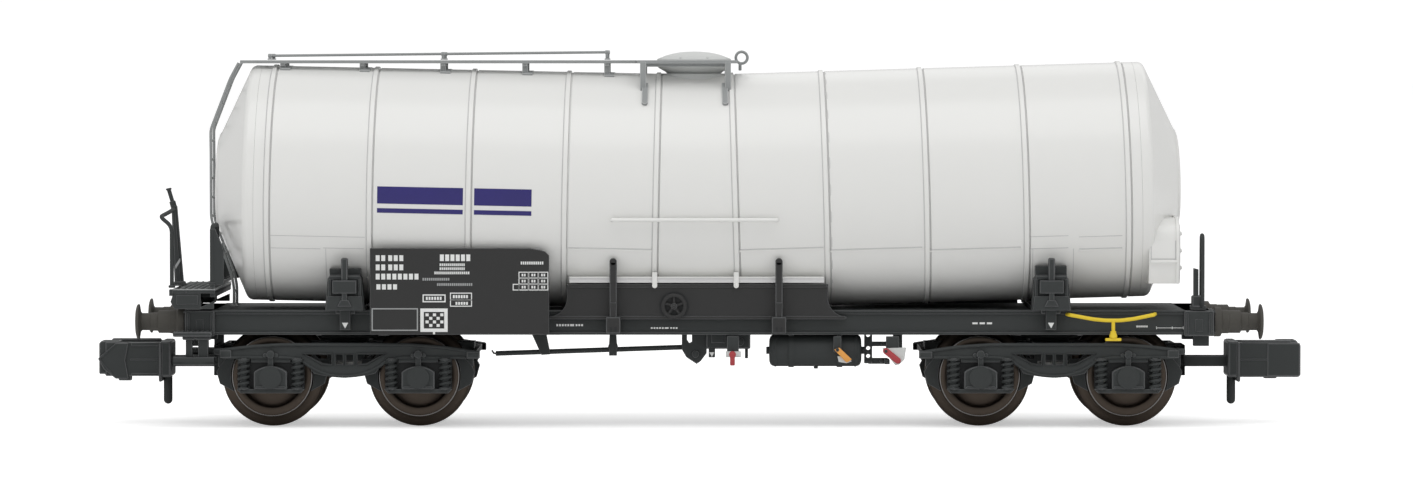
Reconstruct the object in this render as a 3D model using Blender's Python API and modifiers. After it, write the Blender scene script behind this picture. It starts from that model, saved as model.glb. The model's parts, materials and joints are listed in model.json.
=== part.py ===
"""A 1:160 scale model of a bogie tank wagon, as its separate pieces.

The wagon lies along X with its brake platform at -X, -Y is its near side, +Z is up and
the wheels stand on Z = 0. Pieces are drawn in millimetres and scaled to metres when
they are finished.
"""

import math

import bmesh
import bpy
from mathutils import Matrix, Vector

MM = 0.001
GAP = 0.06
SIDES = {"near": -1, "far": 1}
ENDS = {"left": -1, "right": 1}

# Running gear
PIVOT_X = 27.03
AXLE_OFFSET = 5.62
AXLE_Z = 3.88
FLANGE_RADIUS = 3.88
TREAD_RADIUS = 2.93
WHEEL_BACK = 3.7
WHEEL_SIDES = 20
AXLE_RADIUS = 0.62
BOLSTER_TOP = 6.5
SIDE_FRAME = (6.45, 7.1)
AXLEBOX_FACE = 7.55
COUPLER_PIVOT = 9.6
COUPLER_Z = 4.8

# Underframe
HALF_LENGTH = 39.2
HEADSTOCK_DEPTH = 2.3
SOLEBAR = (6.2, 6.8)
SOLEBAR_Z = (7.1, 8.9)
DECK_Z = (8.45, 8.95)

# Tank: two halves whose axes fall towards the middle
TANK_RADIUS = 9.05
TANK_WALL = 0.9
TANK_SIDES = 40
TANK_MIDDLE = Vector((0.5, 0, 17.84))
TANK_LEFT = Vector((-33.75, 0, 18.55))
TANK_RIGHT = Vector((33.5, 0, 18.82))
END_DEPTH = 3.4
END_FLAT_RADIUS = 3.55
MANHOLE_X = -0.42

# Walkway
WALKWAY_Z = (27.78, 27.98)
WALKWAY_X = (-35.3, -4.85)
WALKWAY_HALF_WIDTH = 2.3

# Materials: base colour, roughness, metallic
PALETTE = {
    "tank_white": ((0.80, 0.80, 0.78), 0.45, 0.0),
    "anthracite": ((0.028, 0.031, 0.033), 0.5, 0.0),
    "mid_grey": ((0.30, 0.31, 0.31), 0.5, 0.0),
    "light_grey": ((0.62, 0.63, 0.62), 0.45, 0.0),
    "plate_black": ((0.022, 0.023, 0.024), 0.45, 0.0),
    "wheel_bronze": ((0.075, 0.058, 0.048), 0.35, 0.8),
    "buffer_brown": ((0.055, 0.052, 0.045), 0.45, 0.3),
    "steel": ((0.45, 0.45, 0.44), 0.35, 0.9),
    "yellow": ((0.80, 0.58, 0.03), 0.45, 0.0),
    "orange": ((0.80, 0.36, 0.08), 0.45, 0.0),
    "red": ((0.42, 0.05, 0.06), 0.45, 0.0),
}


# --- Workshop: raw shapes, in millimetres -------------------------------------------


def clear_scene():
    for obj in list(bpy.data.objects):
        bpy.data.objects.remove(obj, do_unlink=True)


def new_collection(name):
    collection = bpy.data.collections.new(name)
    bpy.context.scene.collection.children.link(collection)
    return collection


def new_piece(data):
    piece = bpy.data.objects.new("piece", data)
    bpy.data.collections["workshop"].objects.link(piece)
    return piece


def from_bmesh(bm):
    mesh = bpy.data.meshes.new("piece")
    bm.to_mesh(mesh)
    bm.free()
    return new_piece(mesh)


def as_mesh(piece):
    """The piece with its modifiers or its curve made a mesh, and its caps welded."""
    bpy.context.view_layer.update()
    graph = bpy.context.evaluated_depsgraph_get()
    mesh = bpy.data.meshes.new_from_object(piece.evaluated_get(graph))
    mesh.transform(piece.matrix_world)
    bm = bmesh.new()
    bm.from_mesh(mesh)
    bmesh.ops.remove_doubles(bm, verts=bm.verts, dist=0.0005)
    bm.to_mesh(mesh)
    bm.free()
    bpy.data.objects.remove(piece, do_unlink=True)
    return new_piece(mesh)


def box(x, y, z, bevel=0.0):
    """A box between (low, high) pairs, with its edges rounded by bevel."""
    low = Vector((min(x), min(y), min(z)))
    high = Vector((max(x), max(y), max(z)))
    bm = bmesh.new()
    bmesh.ops.create_cube(bm, size=1.0)
    bmesh.ops.scale(bm, verts=bm.verts, vec=high - low)
    bmesh.ops.translate(bm, verts=bm.verts, vec=(low + high) / 2)
    if bevel:
        bmesh.ops.bevel(bm, geom=bm.edges, offset=bevel, segments=1, affect="EDGES")
    return from_bmesh(bm)


def rod(start, end, radius, sides=12, tip_radius=None):
    """A cylinder, or a cone with another tip_radius, from start to end."""
    start = Vector(start)
    end = Vector(end)
    bm = bmesh.new()
    bmesh.ops.create_cone(
        bm,
        cap_ends=True,
        segments=sides,
        radius1=radius,
        radius2=radius if tip_radius is None else tip_radius,
        depth=(end - start).length,
    )
    turn = (end - start).to_track_quat("Z", "Y").to_matrix().to_4x4()
    bm.transform(Matrix.Translation((start + end) / 2) @ turn)
    return from_bmesh(bm)


def plate(outlines, axis, span):
    """Closed outlines, the first with the others as its holes, extruded along an axis.

    Outlines are (x, z) pairs along Y, (y, z) pairs along X and (x, y) pairs along Z.
    """
    curve = bpy.data.curves.new("outline", "CURVE")
    curve.dimensions = "2D"
    curve.fill_mode = "BOTH"
    curve.extrude = abs(span[1] - span[0]) / 2
    for outline in outlines:
        spline = curve.splines.new("POLY")
        spline.points.add(len(outline) - 1)
        for point, (a, b) in zip(spline.points, outline):
            point.co = (a, b, 0, 1)
        spline.use_cyclic_u = True
    piece = new_piece(curve)
    middle = sum(span) / 2
    piece.matrix_world = {
        "X": Matrix.Translation((middle, 0, 0)) @ Matrix(((0, 0, 1), (1, 0, 0), (0, 1, 0))).to_4x4(),
        "Y": Matrix.Translation((0, middle, 0)) @ Matrix(((1, 0, 0), (0, 0, -1), (0, 1, 0))).to_4x4(),
        "Z": Matrix.Translation((0, 0, middle)),
    }[axis]
    return as_mesh(piece)


def wire(points, radius, resolution=1, closed=False):
    """A round wire along points; resolution 1 gives it 6 sides and 2 gives it 8."""
    curve = bpy.data.curves.new("wire", "CURVE")
    curve.dimensions = "3D"
    curve.bevel_depth = radius
    curve.bevel_resolution = resolution
    curve.use_fill_caps = True
    spline = curve.splines.new("POLY")
    spline.points.add(len(points) - 1)
    for point, place in zip(spline.points, points):
        point.co = (*place, 1)
    spline.use_cyclic_u = closed
    return as_mesh(new_piece(curve))


def turned(profile, sides, place, closed=False):
    """A profile of (radius, height) turned round its height, its outer side from top down."""
    mesh = bpy.data.meshes.new("profile")
    count = len(profile)
    edges = [(i, (i + 1) % count) for i in range(count if closed else count - 1)]
    mesh.from_pydata([(radius, 0, height) for radius, height in profile], edges, [])
    piece = new_piece(mesh)
    screw = piece.modifiers.new("Screw", "SCREW")
    screw.steps = sides
    screw.render_steps = sides
    screw.use_merge_vertices = True
    screw.merge_threshold = 0.0001
    piece.matrix_world = place
    return as_mesh(piece)


def combine(operation, body, others):
    """The body joined with the others, or with the others cut from it."""
    group = bpy.data.collections.new("operands")
    bpy.data.collections["workshop"].children.link(group)
    for other in others:
        group.objects.link(other)
    modifier = body.modifiers.new("Boolean", "BOOLEAN")
    modifier.operation = operation
    modifier.solver = "EXACT"
    modifier.operand_type = "COLLECTION"
    modifier.collection = group
    result = as_mesh(body)
    for other in list(group.objects):
        bpy.data.objects.remove(other, do_unlink=True)
    bpy.data.collections.remove(group)
    return result


def join(pieces):
    return combine("UNION", pieces[0], pieces[1:])


def cut(body, cutters):
    return combine("DIFFERENCE", body, cutters)


def across(side, low, high):
    """A span of Y that is low to high from the centreline, on one side."""
    return tuple(sorted((side * low, side * high)))


def rounded(points, radius, steps=3):
    """The points with each inner corner replaced by an arc of about this radius."""
    points = [Vector(point) for point in points]
    path = [points[0]]
    for before, corner, after in zip(points, points[1:], points[2:]):
        start = corner + (before - corner).normalized() * radius
        end = corner + (after - corner).normalized() * radius
        for i in range(steps + 1):
            t = i / steps
            path.append((1 - t) ** 2 * start + 2 * t * (1 - t) * corner + t * t * end)
    return path + [points[-1]]


def arc(centre, radius, start, end, steps):
    """Points on an arc between two angles in degrees."""
    return [
        (
            centre[0] + radius * math.cos(math.radians(start + (end - start) * i / steps)),
            centre[1] + radius * math.sin(math.radians(start + (end - start) * i / steps)),
        )
        for i in range(steps + 1)
    ]


# --- Finished parts -----------------------------------------------------------------


def material(name):
    found = bpy.data.materials.get(name)
    if found:
        return found
    colour, roughness, metallic = PALETTE[name]
    made = bpy.data.materials.new(name)
    made.use_nodes = True
    shader = made.node_tree.nodes["Principled BSDF"]
    shader.inputs["Base Color"].default_value = (*colour, 1)
    shader.inputs["Roughness"].default_value = roughness
    shader.inputs["Metallic"].default_value = metallic
    made.diffuse_color = (*colour, 1)
    return made


def pivot_empty(name, place, parent=None):
    """An empty on a joint's axis, which the moving pieces are parented to."""
    empty = bpy.data.objects.new(name, None)
    bpy.data.collections["tank_wagon"].objects.link(empty)
    empty.empty_display_size = 2 * MM
    empty.location = Vector(place) * MM
    empty.parent = parent
    return empty


def place_part(name, mesh, parent=None, location=(0, 0, 0), turn=0.0):
    part = bpy.data.objects.new(name, mesh)
    bpy.data.collections["tank_wagon"].objects.link(part)
    part.location = Vector(location) * MM
    part.rotation_euler.z = turn
    part.parent = parent
    return part


def finished_mesh(name, piece, material_name):
    """The piece's mesh in metres, with its material and smooth round faces."""
    mesh = piece.data
    mesh.name = name
    mesh.transform(Matrix.Scale(MM, 4))
    mesh.materials.clear()
    mesh.materials.append(material(material_name))
    mesh.shade_smooth()
    mesh.set_sharp_from_angle(angle=math.radians(35))
    bpy.data.objects.remove(piece, do_unlink=True)
    return mesh


def fixed_part(name, piece, material_name):
    return place_part(name, finished_mesh(name, piece, material_name))


# --- Underframe ---------------------------------------------------------------------


def add_underframe():
    pieces = [box((-HALF_LENGTH, HALF_LENGTH), (-6.5, 6.5), DECK_Z)]
    pieces.append(box((-24, 24), (-1.6, 1.6), (7.1, 8.6)))
    for x in (-15.5, -8, 0, 8, 15.5):
        pieces.append(box((x - 0.4, x + 0.4), (-6.4, 6.4), (7.35, 8.6)))
    for end in ENDS.values():
        inner = HALF_LENGTH - HEADSTOCK_DEPTH
        pieces.append(box((end * inner, end * HALF_LENGTH), (-7.0, 7.0), (7.0, 8.95), bevel=0.1))
        pieces.append(rod((end * PIVOT_X, 0, BOLSTER_TOP + GAP), (end * PIVOT_X, 0, 8.6), 2.2, 20))
    for side in SIDES.values():
        face = SOLEBAR[1]
        pieces.append(box((-37.1, 37.0), across(side, SOLEBAR[0], face - 0.15), SOLEBAR_Z))
        pieces.append(box((-37.1, 37.0), across(side, SOLEBAR[0], face), (8.6, 8.9)))
        pieces.append(box((-37.1, 37.0), across(side, SOLEBAR[0], face), (7.1, 7.4)))
        pieces.append(box((37.7, 38.8), across(side, 5.2, 5.9), (6.35, 7.2)))
    body = join(pieces)
    bores = []
    for end in ENDS.values():
        bores.append(rod((end * PIVOT_X, 0, 6.0), (end * PIVOT_X, 0, 8.1), 0.58, 12))
    fixed_part("underframe", cut(body, bores + [tank_envelope()]), "anthracite")


def add_pivot_screws():
    """The screws that the bogies turn on, driven up into the underframe."""
    for end, sign in ENDS.items():
        x = sign * PIVOT_X
        shank = rod((x, 0, 4.4), (x, 0, 7.9), 0.5, 12)
        head = rod((x, 0, 4.1), (x, 0, 4.75), 1.15, 16)
        slot = box((x - 1.3, x + 1.3), (-0.15, 0.15), (3.9, 4.35))
        fixed_part("pivot_screw_" + end, cut(join([shank, head]), [slot]), "steel")


def buffer_profile():
    """Buffer from its head, with the housing behind; the height is the distance out."""
    return [
        (0, 3.87), (1.0, 3.87), (1.25, 3.76), (1.35, 3.6), (1.35, 3.38), (0.72, 3.3),
        (0.72, 2.2), (0.83, 2.1), (0.83, 0.75), (1.15, 0.65), (1.15, GAP), (0, GAP),
    ]


def add_buffers():
    for end, sign in ENDS.items():
        for side, where in SIDES.items():
            out = Matrix.Rotation(sign * math.pi / 2, 4, "Y")
            place = Matrix.Translation((sign * HALF_LENGTH, where * 5.47, 8.05)) @ out
            piece = turned(buffer_profile(), 16, place)
            fixed_part(f"buffer_{end}_{side}", piece, "buffer_brown")


def add_brake_platform():
    """The platform on the left headstock, with its cheeks, cross beams and corner lug."""
    cheek = [(-39.9, 9.1), (-36.9, 9.1), (-36.9, 9.7), (-37.9, 9.25), (-37.9, 10.4)]
    cheek += [(-39.95, 10.4), (-40.2, 9.65)]
    pieces = [box((-40.05, -36.8), (-7.9, 7.9), (10.3, 10.65))]
    for side in SIDES.values():
        pieces.append(plate([cheek], "Y", across(side, 7.45, 7.9)))
        pieces.append(box((-39.1, -37.95), across(side, 6.1, 7.6), (8.95 + GAP, 9.6)))
    pieces.append(box((-40.0, -39.6), (-7.6, 7.6), (9.3, 10.5)))
    pieces.append(box((-37.2, -36.8), (-7.6, 7.6), (10.0, 10.5)))
    pieces.append(box((-40.35, -39.8), (-7.85, -7.3), (10.1, 10.65)))
    fixed_part("end_platform", join(pieces), "anthracite")


def add_end_railing():
    """Bars between the platform and the tank, open in the middle for the ladder."""
    x = -37.0
    foot = 10.65 + GAP
    pieces = [box((x - 0.2, x + 0.2), (-7.85, 7.85), (foot, foot + 0.3))]
    for side in SIDES.values():
        hoop = [(x, side * 7.65, foot + 0.1), (x, side * 7.65, 15.4)]
        hoop += [(x, side * 3.4, 15.4), (x, side * 3.4, foot + 0.1)]
        pieces.append(wire(rounded(hoop, 0.5), 0.19))
        for y in (4.8, 6.2):
            pieces.append(rod((x, side * y, foot + 0.1), (x, side * y, 15.4), 0.16, 6))
    fixed_part("end_railing", join(pieces), "anthracite")


def add_brake_column():
    """The leaning brake column with its crank, and the bent grab handle beside it."""
    foot = 10.65 + GAP
    column = plate(
        [[(-40.25, foot), (-39.55, foot), (-40.07, 16.85), (-40.5, 16.85)]], "Y", (-3.4, -2.9)
    )
    rise = rod((-40.3, -3.15, 16.6), (-40.73, -3.15, 18.15), 0.17, 8)
    pedestal = box((-40.3, -39.45), (-3.6, -2.7), (foot, foot + 0.3))
    grab = [(-40.1, -7.6, foot), (-40.1, -7.6, 15.4), (-41.0, -7.4, 16.1)]
    grab += [(-40.5, -5.4, 16.4), (-40.3, -3.2, 16.6)]
    handle = wire(rounded(grab, 0.45), 0.17)
    fixed_part("brake_column", join([column, rise, pedestal, handle]), "anthracite")


def add_steps():
    """Shunter's steps below the left headstock."""
    for side, where in SIDES.items():
        outer = across(where, 7.0 + GAP, 8.3)
        pieces = [box((-40.0, -37.0), outer, (7.0, 7.45), bevel=0.08)]
        pieces.append(box((-39.05, -38.55), across(where, 7.3, 7.8), (5.3, 7.1)))
        pieces.append(box((-38.1, -37.35), across(where, 7.3, 7.8), (5.3, 7.1)))
        pieces.append(box((-40.05, -36.75), outer, (4.85, 5.45), bevel=0.08))
        fixed_part("step_" + side, join(pieces), "anthracite")


def add_corner_rail():
    """The grab rail on the near right-hand corner of the deck."""
    foot = 8.95 + GAP
    pieces = [box((37.4, 38.6), (-6.9, -5.9), (foot, foot + 0.35))]
    tall = [(38.25, -6.7, foot + 0.2), (38.25, -7.7, 9.6), (38.25, -7.7, 14.7)]
    tall += [(38.25, -6.5, 14.7), (38.25, -6.2, 9.3)]
    pieces.append(wire(rounded(tall, 0.4), 0.15))
    pieces.append(wire([(37.8, -6.6, foot + 0.2), (37.8, -6.9, 12.2)], 0.15))
    fixed_part("corner_rail_near", join(pieces), "anthracite")


# --- Tank ---------------------------------------------------------------------------


def tank_axis(end):
    """Where an end of the tank is, and the matrix whose Z points out along that half."""
    place = TANK_LEFT if end < 0 else TANK_RIGHT
    out = (place - TANK_MIDDLE).normalized()
    turn = out.to_track_quat("Z", "Y").to_matrix().to_4x4()
    return place, out, Matrix.Translation(place) @ turn


def tank_tube(radius, beyond):
    """The kinked barrel as a solid of a given radius, run past each end."""
    left, left_out, _ = tank_axis(-1)
    right, right_out, _ = tank_axis(1)
    ends = [left + left_out * beyond, TANK_MIDDLE, right + right_out * beyond]
    return wire(ends, radius, (TANK_SIDES - 4) // 2)


def end_outline(grow=0.0):
    """The outside of a tank end, from its flat middle over the cone to its rounded edge."""
    outline = [(END_FLAT_RADIUS - 0.2, END_DEPTH), (END_FLAT_RADIUS, END_DEPTH - 0.1)]
    outline += [(8.8, 0.93), (8.97, 0.8), (TANK_RADIUS, 0.6), (TANK_RADIUS, GAP)]
    return [(0, END_DEPTH + grow)] + [(radius + grow, height + grow) for radius, height in outline]


def tank_envelope():
    """The whole tank grown by the gap, to cut what stands against it."""
    pieces = [tank_tube(TANK_RADIUS + 1.3 * GAP, 0.1)]
    for end in ENDS.values():
        _, _, place = tank_axis(end)
        pieces.append(turned(end_outline(GAP) + [(0, -1)], TANK_SIDES, place))
    return join(pieces)


def add_barrel():
    """The jacketed barrel: an open tube with a ledge along the middle of each side."""
    pieces = [tank_tube(TANK_RADIUS, 0)]
    for side in SIDES.values():
        pieces.append(box((-9.9, 9.5), across(side, 5.0, 7.4), (11.08, 11.55)))
        for x in (-3.5, 2.9):
            pieces.append(box((x - 0.25, x + 0.25), across(side, 7.2, 7.45), (10.65, 11.3)))
    body = join(pieces)
    bore = tank_tube(TANK_RADIUS - TANK_WALL, 2)
    hole = rod((MANHOLE_X, 0, 25), (MANHOLE_X, 0, 28), 1.3, 16)
    fixed_part("tank_barrel", cut(body, [bore, hole]), "tank_white")


def end_profile():
    """Tank end: its outside, then the spigot that plugs the barrel and the hollow."""
    spigot = TANK_RADIUS - TANK_WALL - GAP
    inside = [(spigot, GAP), (spigot, -1.4), (spigot - 0.8, -1.4), (spigot - 0.8, 0.3)]
    return end_outline() + inside + [(END_FLAT_RADIUS - 0.6, END_DEPTH - 0.9), (0, END_DEPTH - 0.9)]


def add_tank_ends():
    for end, sign in ENDS.items():
        _, _, place = tank_axis(sign)
        piece = turned(end_profile(), TANK_SIDES, place)
        fixed_part("tank_end_" + end, piece, "tank_white")


def add_ballast():
    """The steel weight that lies in the barrel."""
    fixed_part("ballast_weight", box((-25, 25), (-3.5, 3.5), (11.65, 16.4), bevel=0.3), "steel")


def add_manhole():
    """The neck, with a peg that drops into the barrel, and its domed cover."""
    top = 27.86
    neck = rod((MANHOLE_X, 0, 26.3), (MANHOLE_X, 0, top), 2.05, 24)
    neck = cut(neck, [tank_envelope()])
    peg = rod((MANHOLE_X, 0, 26.0), (MANHOLE_X, 0, 27.4), 1.2, 16)
    fixed_part("manhole_neck", join([neck, peg]), "light_grey")
    place = Matrix.Translation((MANHOLE_X, 0, top + GAP))
    dome = [(0, 0.75), (1.2, 0.68), (2.2, 0.45), (2.8, 0.18), (2.85, 0.1), (2.85, 0), (0, 0)]
    fixed_part("manhole_cover", turned(dome, 32, place), "light_grey")


def add_walkway():
    width = WALKWAY_HALF_WIDTH
    pieces = [box(WALKWAY_X, (-width, width), WALKWAY_Z)]
    posts = []
    for x in (-32.0, -25.9, -19.7, -13.4, -7.1):
        for side in SIDES.values():
            posts.append(box((x - 0.25, x + 0.25), across(side, 1.7, 2.1), (26.2, 27.9)))
    pieces += [cut(post, [tank_envelope()]) for post in posts]
    fixed_part("walkway", join(pieces), "mid_grey")


def add_walkway_handrail():
    """The folded railing that lies along the walkway, with its short posts."""
    start = (-33.0, 28.35)
    end = (-7.1, 28.62)
    y = 1.95
    pieces = []
    loop = [(start[0], -y, start[1]), (end[0], -y, end[1])]
    loop += [(end[0], y, end[1]), (start[0], y, start[1])]
    pieces.append(wire(loop, 0.11, closed=True))
    for side in SIDES.values():
        for x in (-33.0, -19.7, -7.1):
            share = (x - start[0]) / (end[0] - start[0])
            top = start[1] + share * (end[1] - start[1])
            pieces.append(rod((x, side * y, WALKWAY_Z[1] + GAP), (x, side * y, top), 0.13, 6))
    fixed_part("walkway_handrail", join(pieces), "mid_grey")


def add_manhole_platform():
    """The wider platform round the manhole, its side brackets and the grab hoop."""
    span = (WALKWAY_X[1] + GAP, 2.95)
    half = 4.7
    edge = [(span[0], -half), (span[1], -half), (span[1], half), (span[0], half)]
    hole = arc((MANHOLE_X, 0), 3.0, 0, 345, 23)
    pieces = [plate([edge, hole], "Z", WALKWAY_Z)]
    for side in SIDES.values():
        for x in (-4.31, 2.18):
            bracket = box((x - 0.23, x + 0.23), across(side, 4.25, 4.7), (24.5, 27.9))
            pieces.append(cut(bracket, [tank_envelope()]))
    ring = [(x, 0, z) for x, z in arc((3.25, 28.2), 0.45, 0, 315, 7)]
    pieces.append(wire(ring, 0.12, closed=True))
    pieces.append(rod((3.13, 0, 27.2), (3.13, 0, 27.85), 0.12, 6))
    pieces.append(box((2.8, 3.3), (-0.5, 0.5), WALKWAY_Z))
    fixed_part("manhole_platform", join(pieces), "mid_grey")


def ladder_path():
    """One stile of the end ladder, as (x, z) from the walkway down to the deck."""
    return [
        (-35.45, 27.8), (-36.1, 26.6), (-37.62, 22.65), (-37.6, 20.7), (-37.6, 15.95),
        (-37.45, 15.3), (-36.5, 12.8), (-36.0, 11.3), (-35.85, 10.5), (-35.85, 9.05),
    ]


def add_ladder():
    half = 1.5
    path = ladder_path()
    pieces = []
    for side in SIDES.values():
        pieces.append(wire([(x, side * half, z) for x, z in path], 0.14))
    for i in range(12):
        z = 10.2 + 1.45 * i
        for (x0, z0), (x1, z1) in zip(path, path[1:]):
            if z1 <= z < z0:
                x = x0 + (x1 - x0) * (z0 - z) / (z0 - z1)
        pieces.append(rod((x, -half, z), (x, half, z), 0.1, 6))
    fixed_part("end_ladder", join(pieces), "mid_grey")


def hood_outline(grow=0.0):
    """The hood as (y, z): its cheeks lean in to the foot and its shoulders are round."""
    half = 7.45 + grow
    radius = 1.7
    right = arc((half - radius, 14.3 + grow), radius, 0, 90, 5)
    left = [(-y, z) for y, z in reversed(right)]
    return [(-half + 0.6, 11.0), (half - 0.6, 11.0), (half, 12.8)] + right + left + [(-half, 12.8)]


def add_end_hood():
    """The valve hood low on the right-hand tank end, with its rim and screw heads."""
    pieces = [plate([hood_outline()], "X", (34.6, 36.6))]
    pieces.append(plate([hood_outline(0.1)], "X", (36.3, 36.5)))
    for y in (-6.2, -4.4, 4.4, 6.2):
        for z in (12.2, 13.5, 14.8):
            pieces.append(rod((36.4, y, z), (36.8, y, z), 0.18, 6))
    fixed_part("end_hood", cut(join(pieces), [tank_envelope()]), "tank_white")


def add_side_rails():
    """The grab rails along the middle of the tank's sides."""
    for side, where in SIDES.items():
        path = [(-6.6, where * 8.85, 15.91), (-6.6, where * 9.22, 15.91)]
        path += [(5.9, where * 9.22, 15.91), (5.9, where * 8.85, 15.91)]
        fixed_part("side_rail_" + side, wire(path, 0.13), "tank_white")


# --- Tank supports and plates -------------------------------------------------------


def add_saddles():
    """The cradles that carry the tank over the bogies, each with its stakes."""
    for end, sign in ENDS.items():
        x = sign * 26.75
        foot = DECK_Z[1] + GAP
        cradle = [(x - 1.5, foot), (x + 1.5, foot), (x + 1.3, 11.4), (x + 1.1, 11.7)]
        cradle += [(x - 1.1, 11.7), (x - 1.3, 11.4)]
        pieces = [cut(plate([cradle], "Y", (-8.5, 8.5)), [tank_envelope()])]
        for side in SIDES.values():
            pieces.append(box((x - 0.25, x + 0.25), across(side, 8.1, 8.5), (9.5, 13.0)))
            pieces.append(box((x - 0.4, x + 0.4), across(side, 6.8 + GAP, 7.5), (7.5, 9.3)))
        fixed_part("saddle_" + end, join(pieces), "anthracite")


def centre_plate_outline():
    """Centre plate, wider at its foot with a hollow round corner up each side."""
    left = arc((-11.5, 9.9), 1.4, -90, 0, 5)
    right = arc((11.2, 9.9), 1.4, 180, 270, 5)
    return [(-11.5, 8.35)] + left + [(-10.1, 10.98), (9.8, 10.98)] + right + [(11.2, 8.35)]


def on_both_sides(name, piece, material_name):
    """The near piece, and a copy turned half round for the far side."""
    mesh = finished_mesh(name, piece, material_name)
    place_part(name + "_near", mesh)
    place_part(name + "_far", mesh, turn=math.pi)


def add_side_plates():
    """The centre plates with their straps, foot blocks and spoked handwheel."""
    pieces = [plate([centre_plate_outline()], "Y", (-7.2, -6.86))]
    for x in (-6.55, 6.05):
        pieces.append(box((x - 0.3, x + 0.3), (-7.98, -7.64), (8.2, 13.0), bevel=0.1))
        pieces.append(box((x - 0.55, x + 0.55), (-8.1, -6.9), (7.25, 8.5)))
    centre = (-1.93, 9.3)
    pieces.append(plate([arc(centre, 0.95, 0, 340, 17), arc(centre, 0.7, 0, 330, 11)], "Y", (-7.55, -7.15)))
    hub = Vector((centre[0], -7.4, centre[1]))
    for i in range(5):
        angle = math.radians(90 + 72 * i)
        spoke = 0.8 * Vector((math.cos(angle), 0, math.sin(angle)))
        pieces.append(rod(hub, hub + spoke, 0.13, 6))
    pieces.append(rod(hub + Vector((0, 0.4, 0)), hub - Vector((0, 0.2, 0)), 0.25, 8))
    on_both_sides("side_plate", join(pieces), "plate_black")


def add_signboards():
    """The data panels that hang outside the tank, at the left of each side."""
    outline = [(-25.0, 7.2), (-11.4, 7.2), (-11.4, 13.2), (-12.0, 13.6), (-12.9, 13.75), (-25.0, 13.75)]
    pieces = [plate([outline], "Y", (-8.6, -8.25))]
    for x in (-23.5, -18.2, -12.9):
        pieces.append(box((x - 0.5, x + 0.5), (-8.4, -6.8 - GAP), (7.5, 8.6)))
    on_both_sides("signboard", join(pieces), "plate_black")


def add_yellow_brackets():
    """The bowed rope brackets, at the right of each side."""
    y = -7.9
    bar = [(28.0, -6.95, 8.75), (28.2, y, 8.75), (29.8, y, 8.4), (31.4, y, 8.28)]
    bar += [(33.0, y, 8.4), (34.5, y, 8.75), (34.7, -6.95, 8.75)]
    pieces = [wire(rounded(bar, 0.25, 2), 0.15)]
    pieces.append(rod((31.45, y, 6.75), (31.45, y, 8.3), 0.2, 8))
    pieces.append(box((30.9, 32.0), (-8.1, -7.7), (6.66, 6.9)))
    on_both_sides("bracket_yellow", join(pieces), "yellow")


# --- Brake gear ---------------------------------------------------------------------


def add_reservoir():
    y = -5.3
    shell = [(0, 7.1), (0.8, 7.05), (1.15, 6.8), (1.22, 6.5), (1.22, 0.6), (1.15, 0.3), (0.8, 0.05), (0, 0)]
    place = Matrix.Translation((5.3, y, 5.85)) @ Matrix.Rotation(math.pi / 2, 4, "Y")
    pieces = [turned(shell, 20, place)]
    for x in (7.0, 10.7):
        pieces.append(box((x - 0.2, x + 0.2), (y - 0.3, y + 0.3), (6.5, 8.45 - GAP)))
    fixed_part("air_reservoir", join(pieces), "anthracite")


def add_brake_rigging():
    """Brake rod, its hangers, the V hanger and the change-over gear block."""
    y = -4.3
    pieces = [wire([(-15.8, y, 5.56), (-1.0, y, 6.05)], 0.16)]
    pieces.append(wire([(-12.7, y, 5.5), (-11.4, y, 7.2)], 0.16))
    pieces.append(rod((-6.7, y, 5.4), (-6.7, y, 7.2), 0.16, 6))
    pieces.append(box((-12.2, -10.6), (-4.8, -3.8), (7.0, 7.1)))
    hanger = [(-1.35, 8.4), (0.65, 8.4), (0.55, 5.6), (0.1, 4.95), (-0.3, 4.8), (-0.8, 5.1), (-1.3, 5.7)]
    pieces.append(plate([hanger], "Y", (-5.0, -4.0)))
    pieces.append(box((0.3, 4.0), (-5.4, -3.6), (5.9, 8.4)))
    pieces.append(box((-6.9, -6.5), (-4.6, -4.0), (7.0, 8.4)))
    pieces.append(box((-12.0, -11.0), (-4.6, -4.0), (7.0, 8.4)))
    body = join(pieces)
    clearance = box((-0.46, 0.46), (-7, 7), (7.29, 9))
    fixed_part("brake_rigging", cut(body, [clearance]), "anthracite")


def add_lever_bracket():
    """The small frame beside the reservoir that carries the diagonal lever."""
    y = (-5.4, -4.6)
    pieces = [box((12.6, 13.2), y, (4.85, 8.45 - GAP)), box((14.8, 15.5), y, (6.0, 7.35 - GAP))]
    pieces.append(box((12.9, 15.3), (-5.2, -4.8), (6.15, 6.5)))
    pieces.append(box((12.9, 14.4), (-5.2, -4.8), (4.8, 5.25)))
    pieces.append(box((14.1, 14.5), (-6.8, -4.9), (4.85, 5.2)))
    fixed_part("lever_bracket", join(pieces), "anthracite")


def add_levers():
    """The three coloured brake levers, each on its pale plate."""
    y = (-7.4, -7.1)
    red = [box((2.33, 2.7), y, (4.78, 6.1))]
    red.append(box((2.0, 3.16), (-7.2, -6.9), (5.4, 7.0)))
    fixed_part("lever_red", join(red), "red")
    lever = plate([[(10.25, 6.0), (10.65, 6.15), (11.6, 5.25), (11.2, 5.0)]], "Y", y)
    arm = box((10.2, 10.8), (-7.2, -6.9), (5.8, 7.0))
    fixed_part("lever_orange", join([lever, arm]), "orange")
    sign = [(13.9, 6.1), (15.75, 6.15), (15.6, 5.2), (15.2, 4.85), (14.9, 4.8)]
    panel = plate([sign], "Y", (-7.2, -6.9))
    arm = box((14.2, 15.2), (-7.15, -6.9), (5.9, 7.0))
    lever = plate([[(13.95, 5.95), (14.3, 6.1), (15.35, 5.1), (15.1, 4.9)]], "Y", y)
    fixed_part("lever_diagonal", join([panel, arm, lever]), "light_grey")


# --- Bogies -------------------------------------------------------------------------


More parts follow.
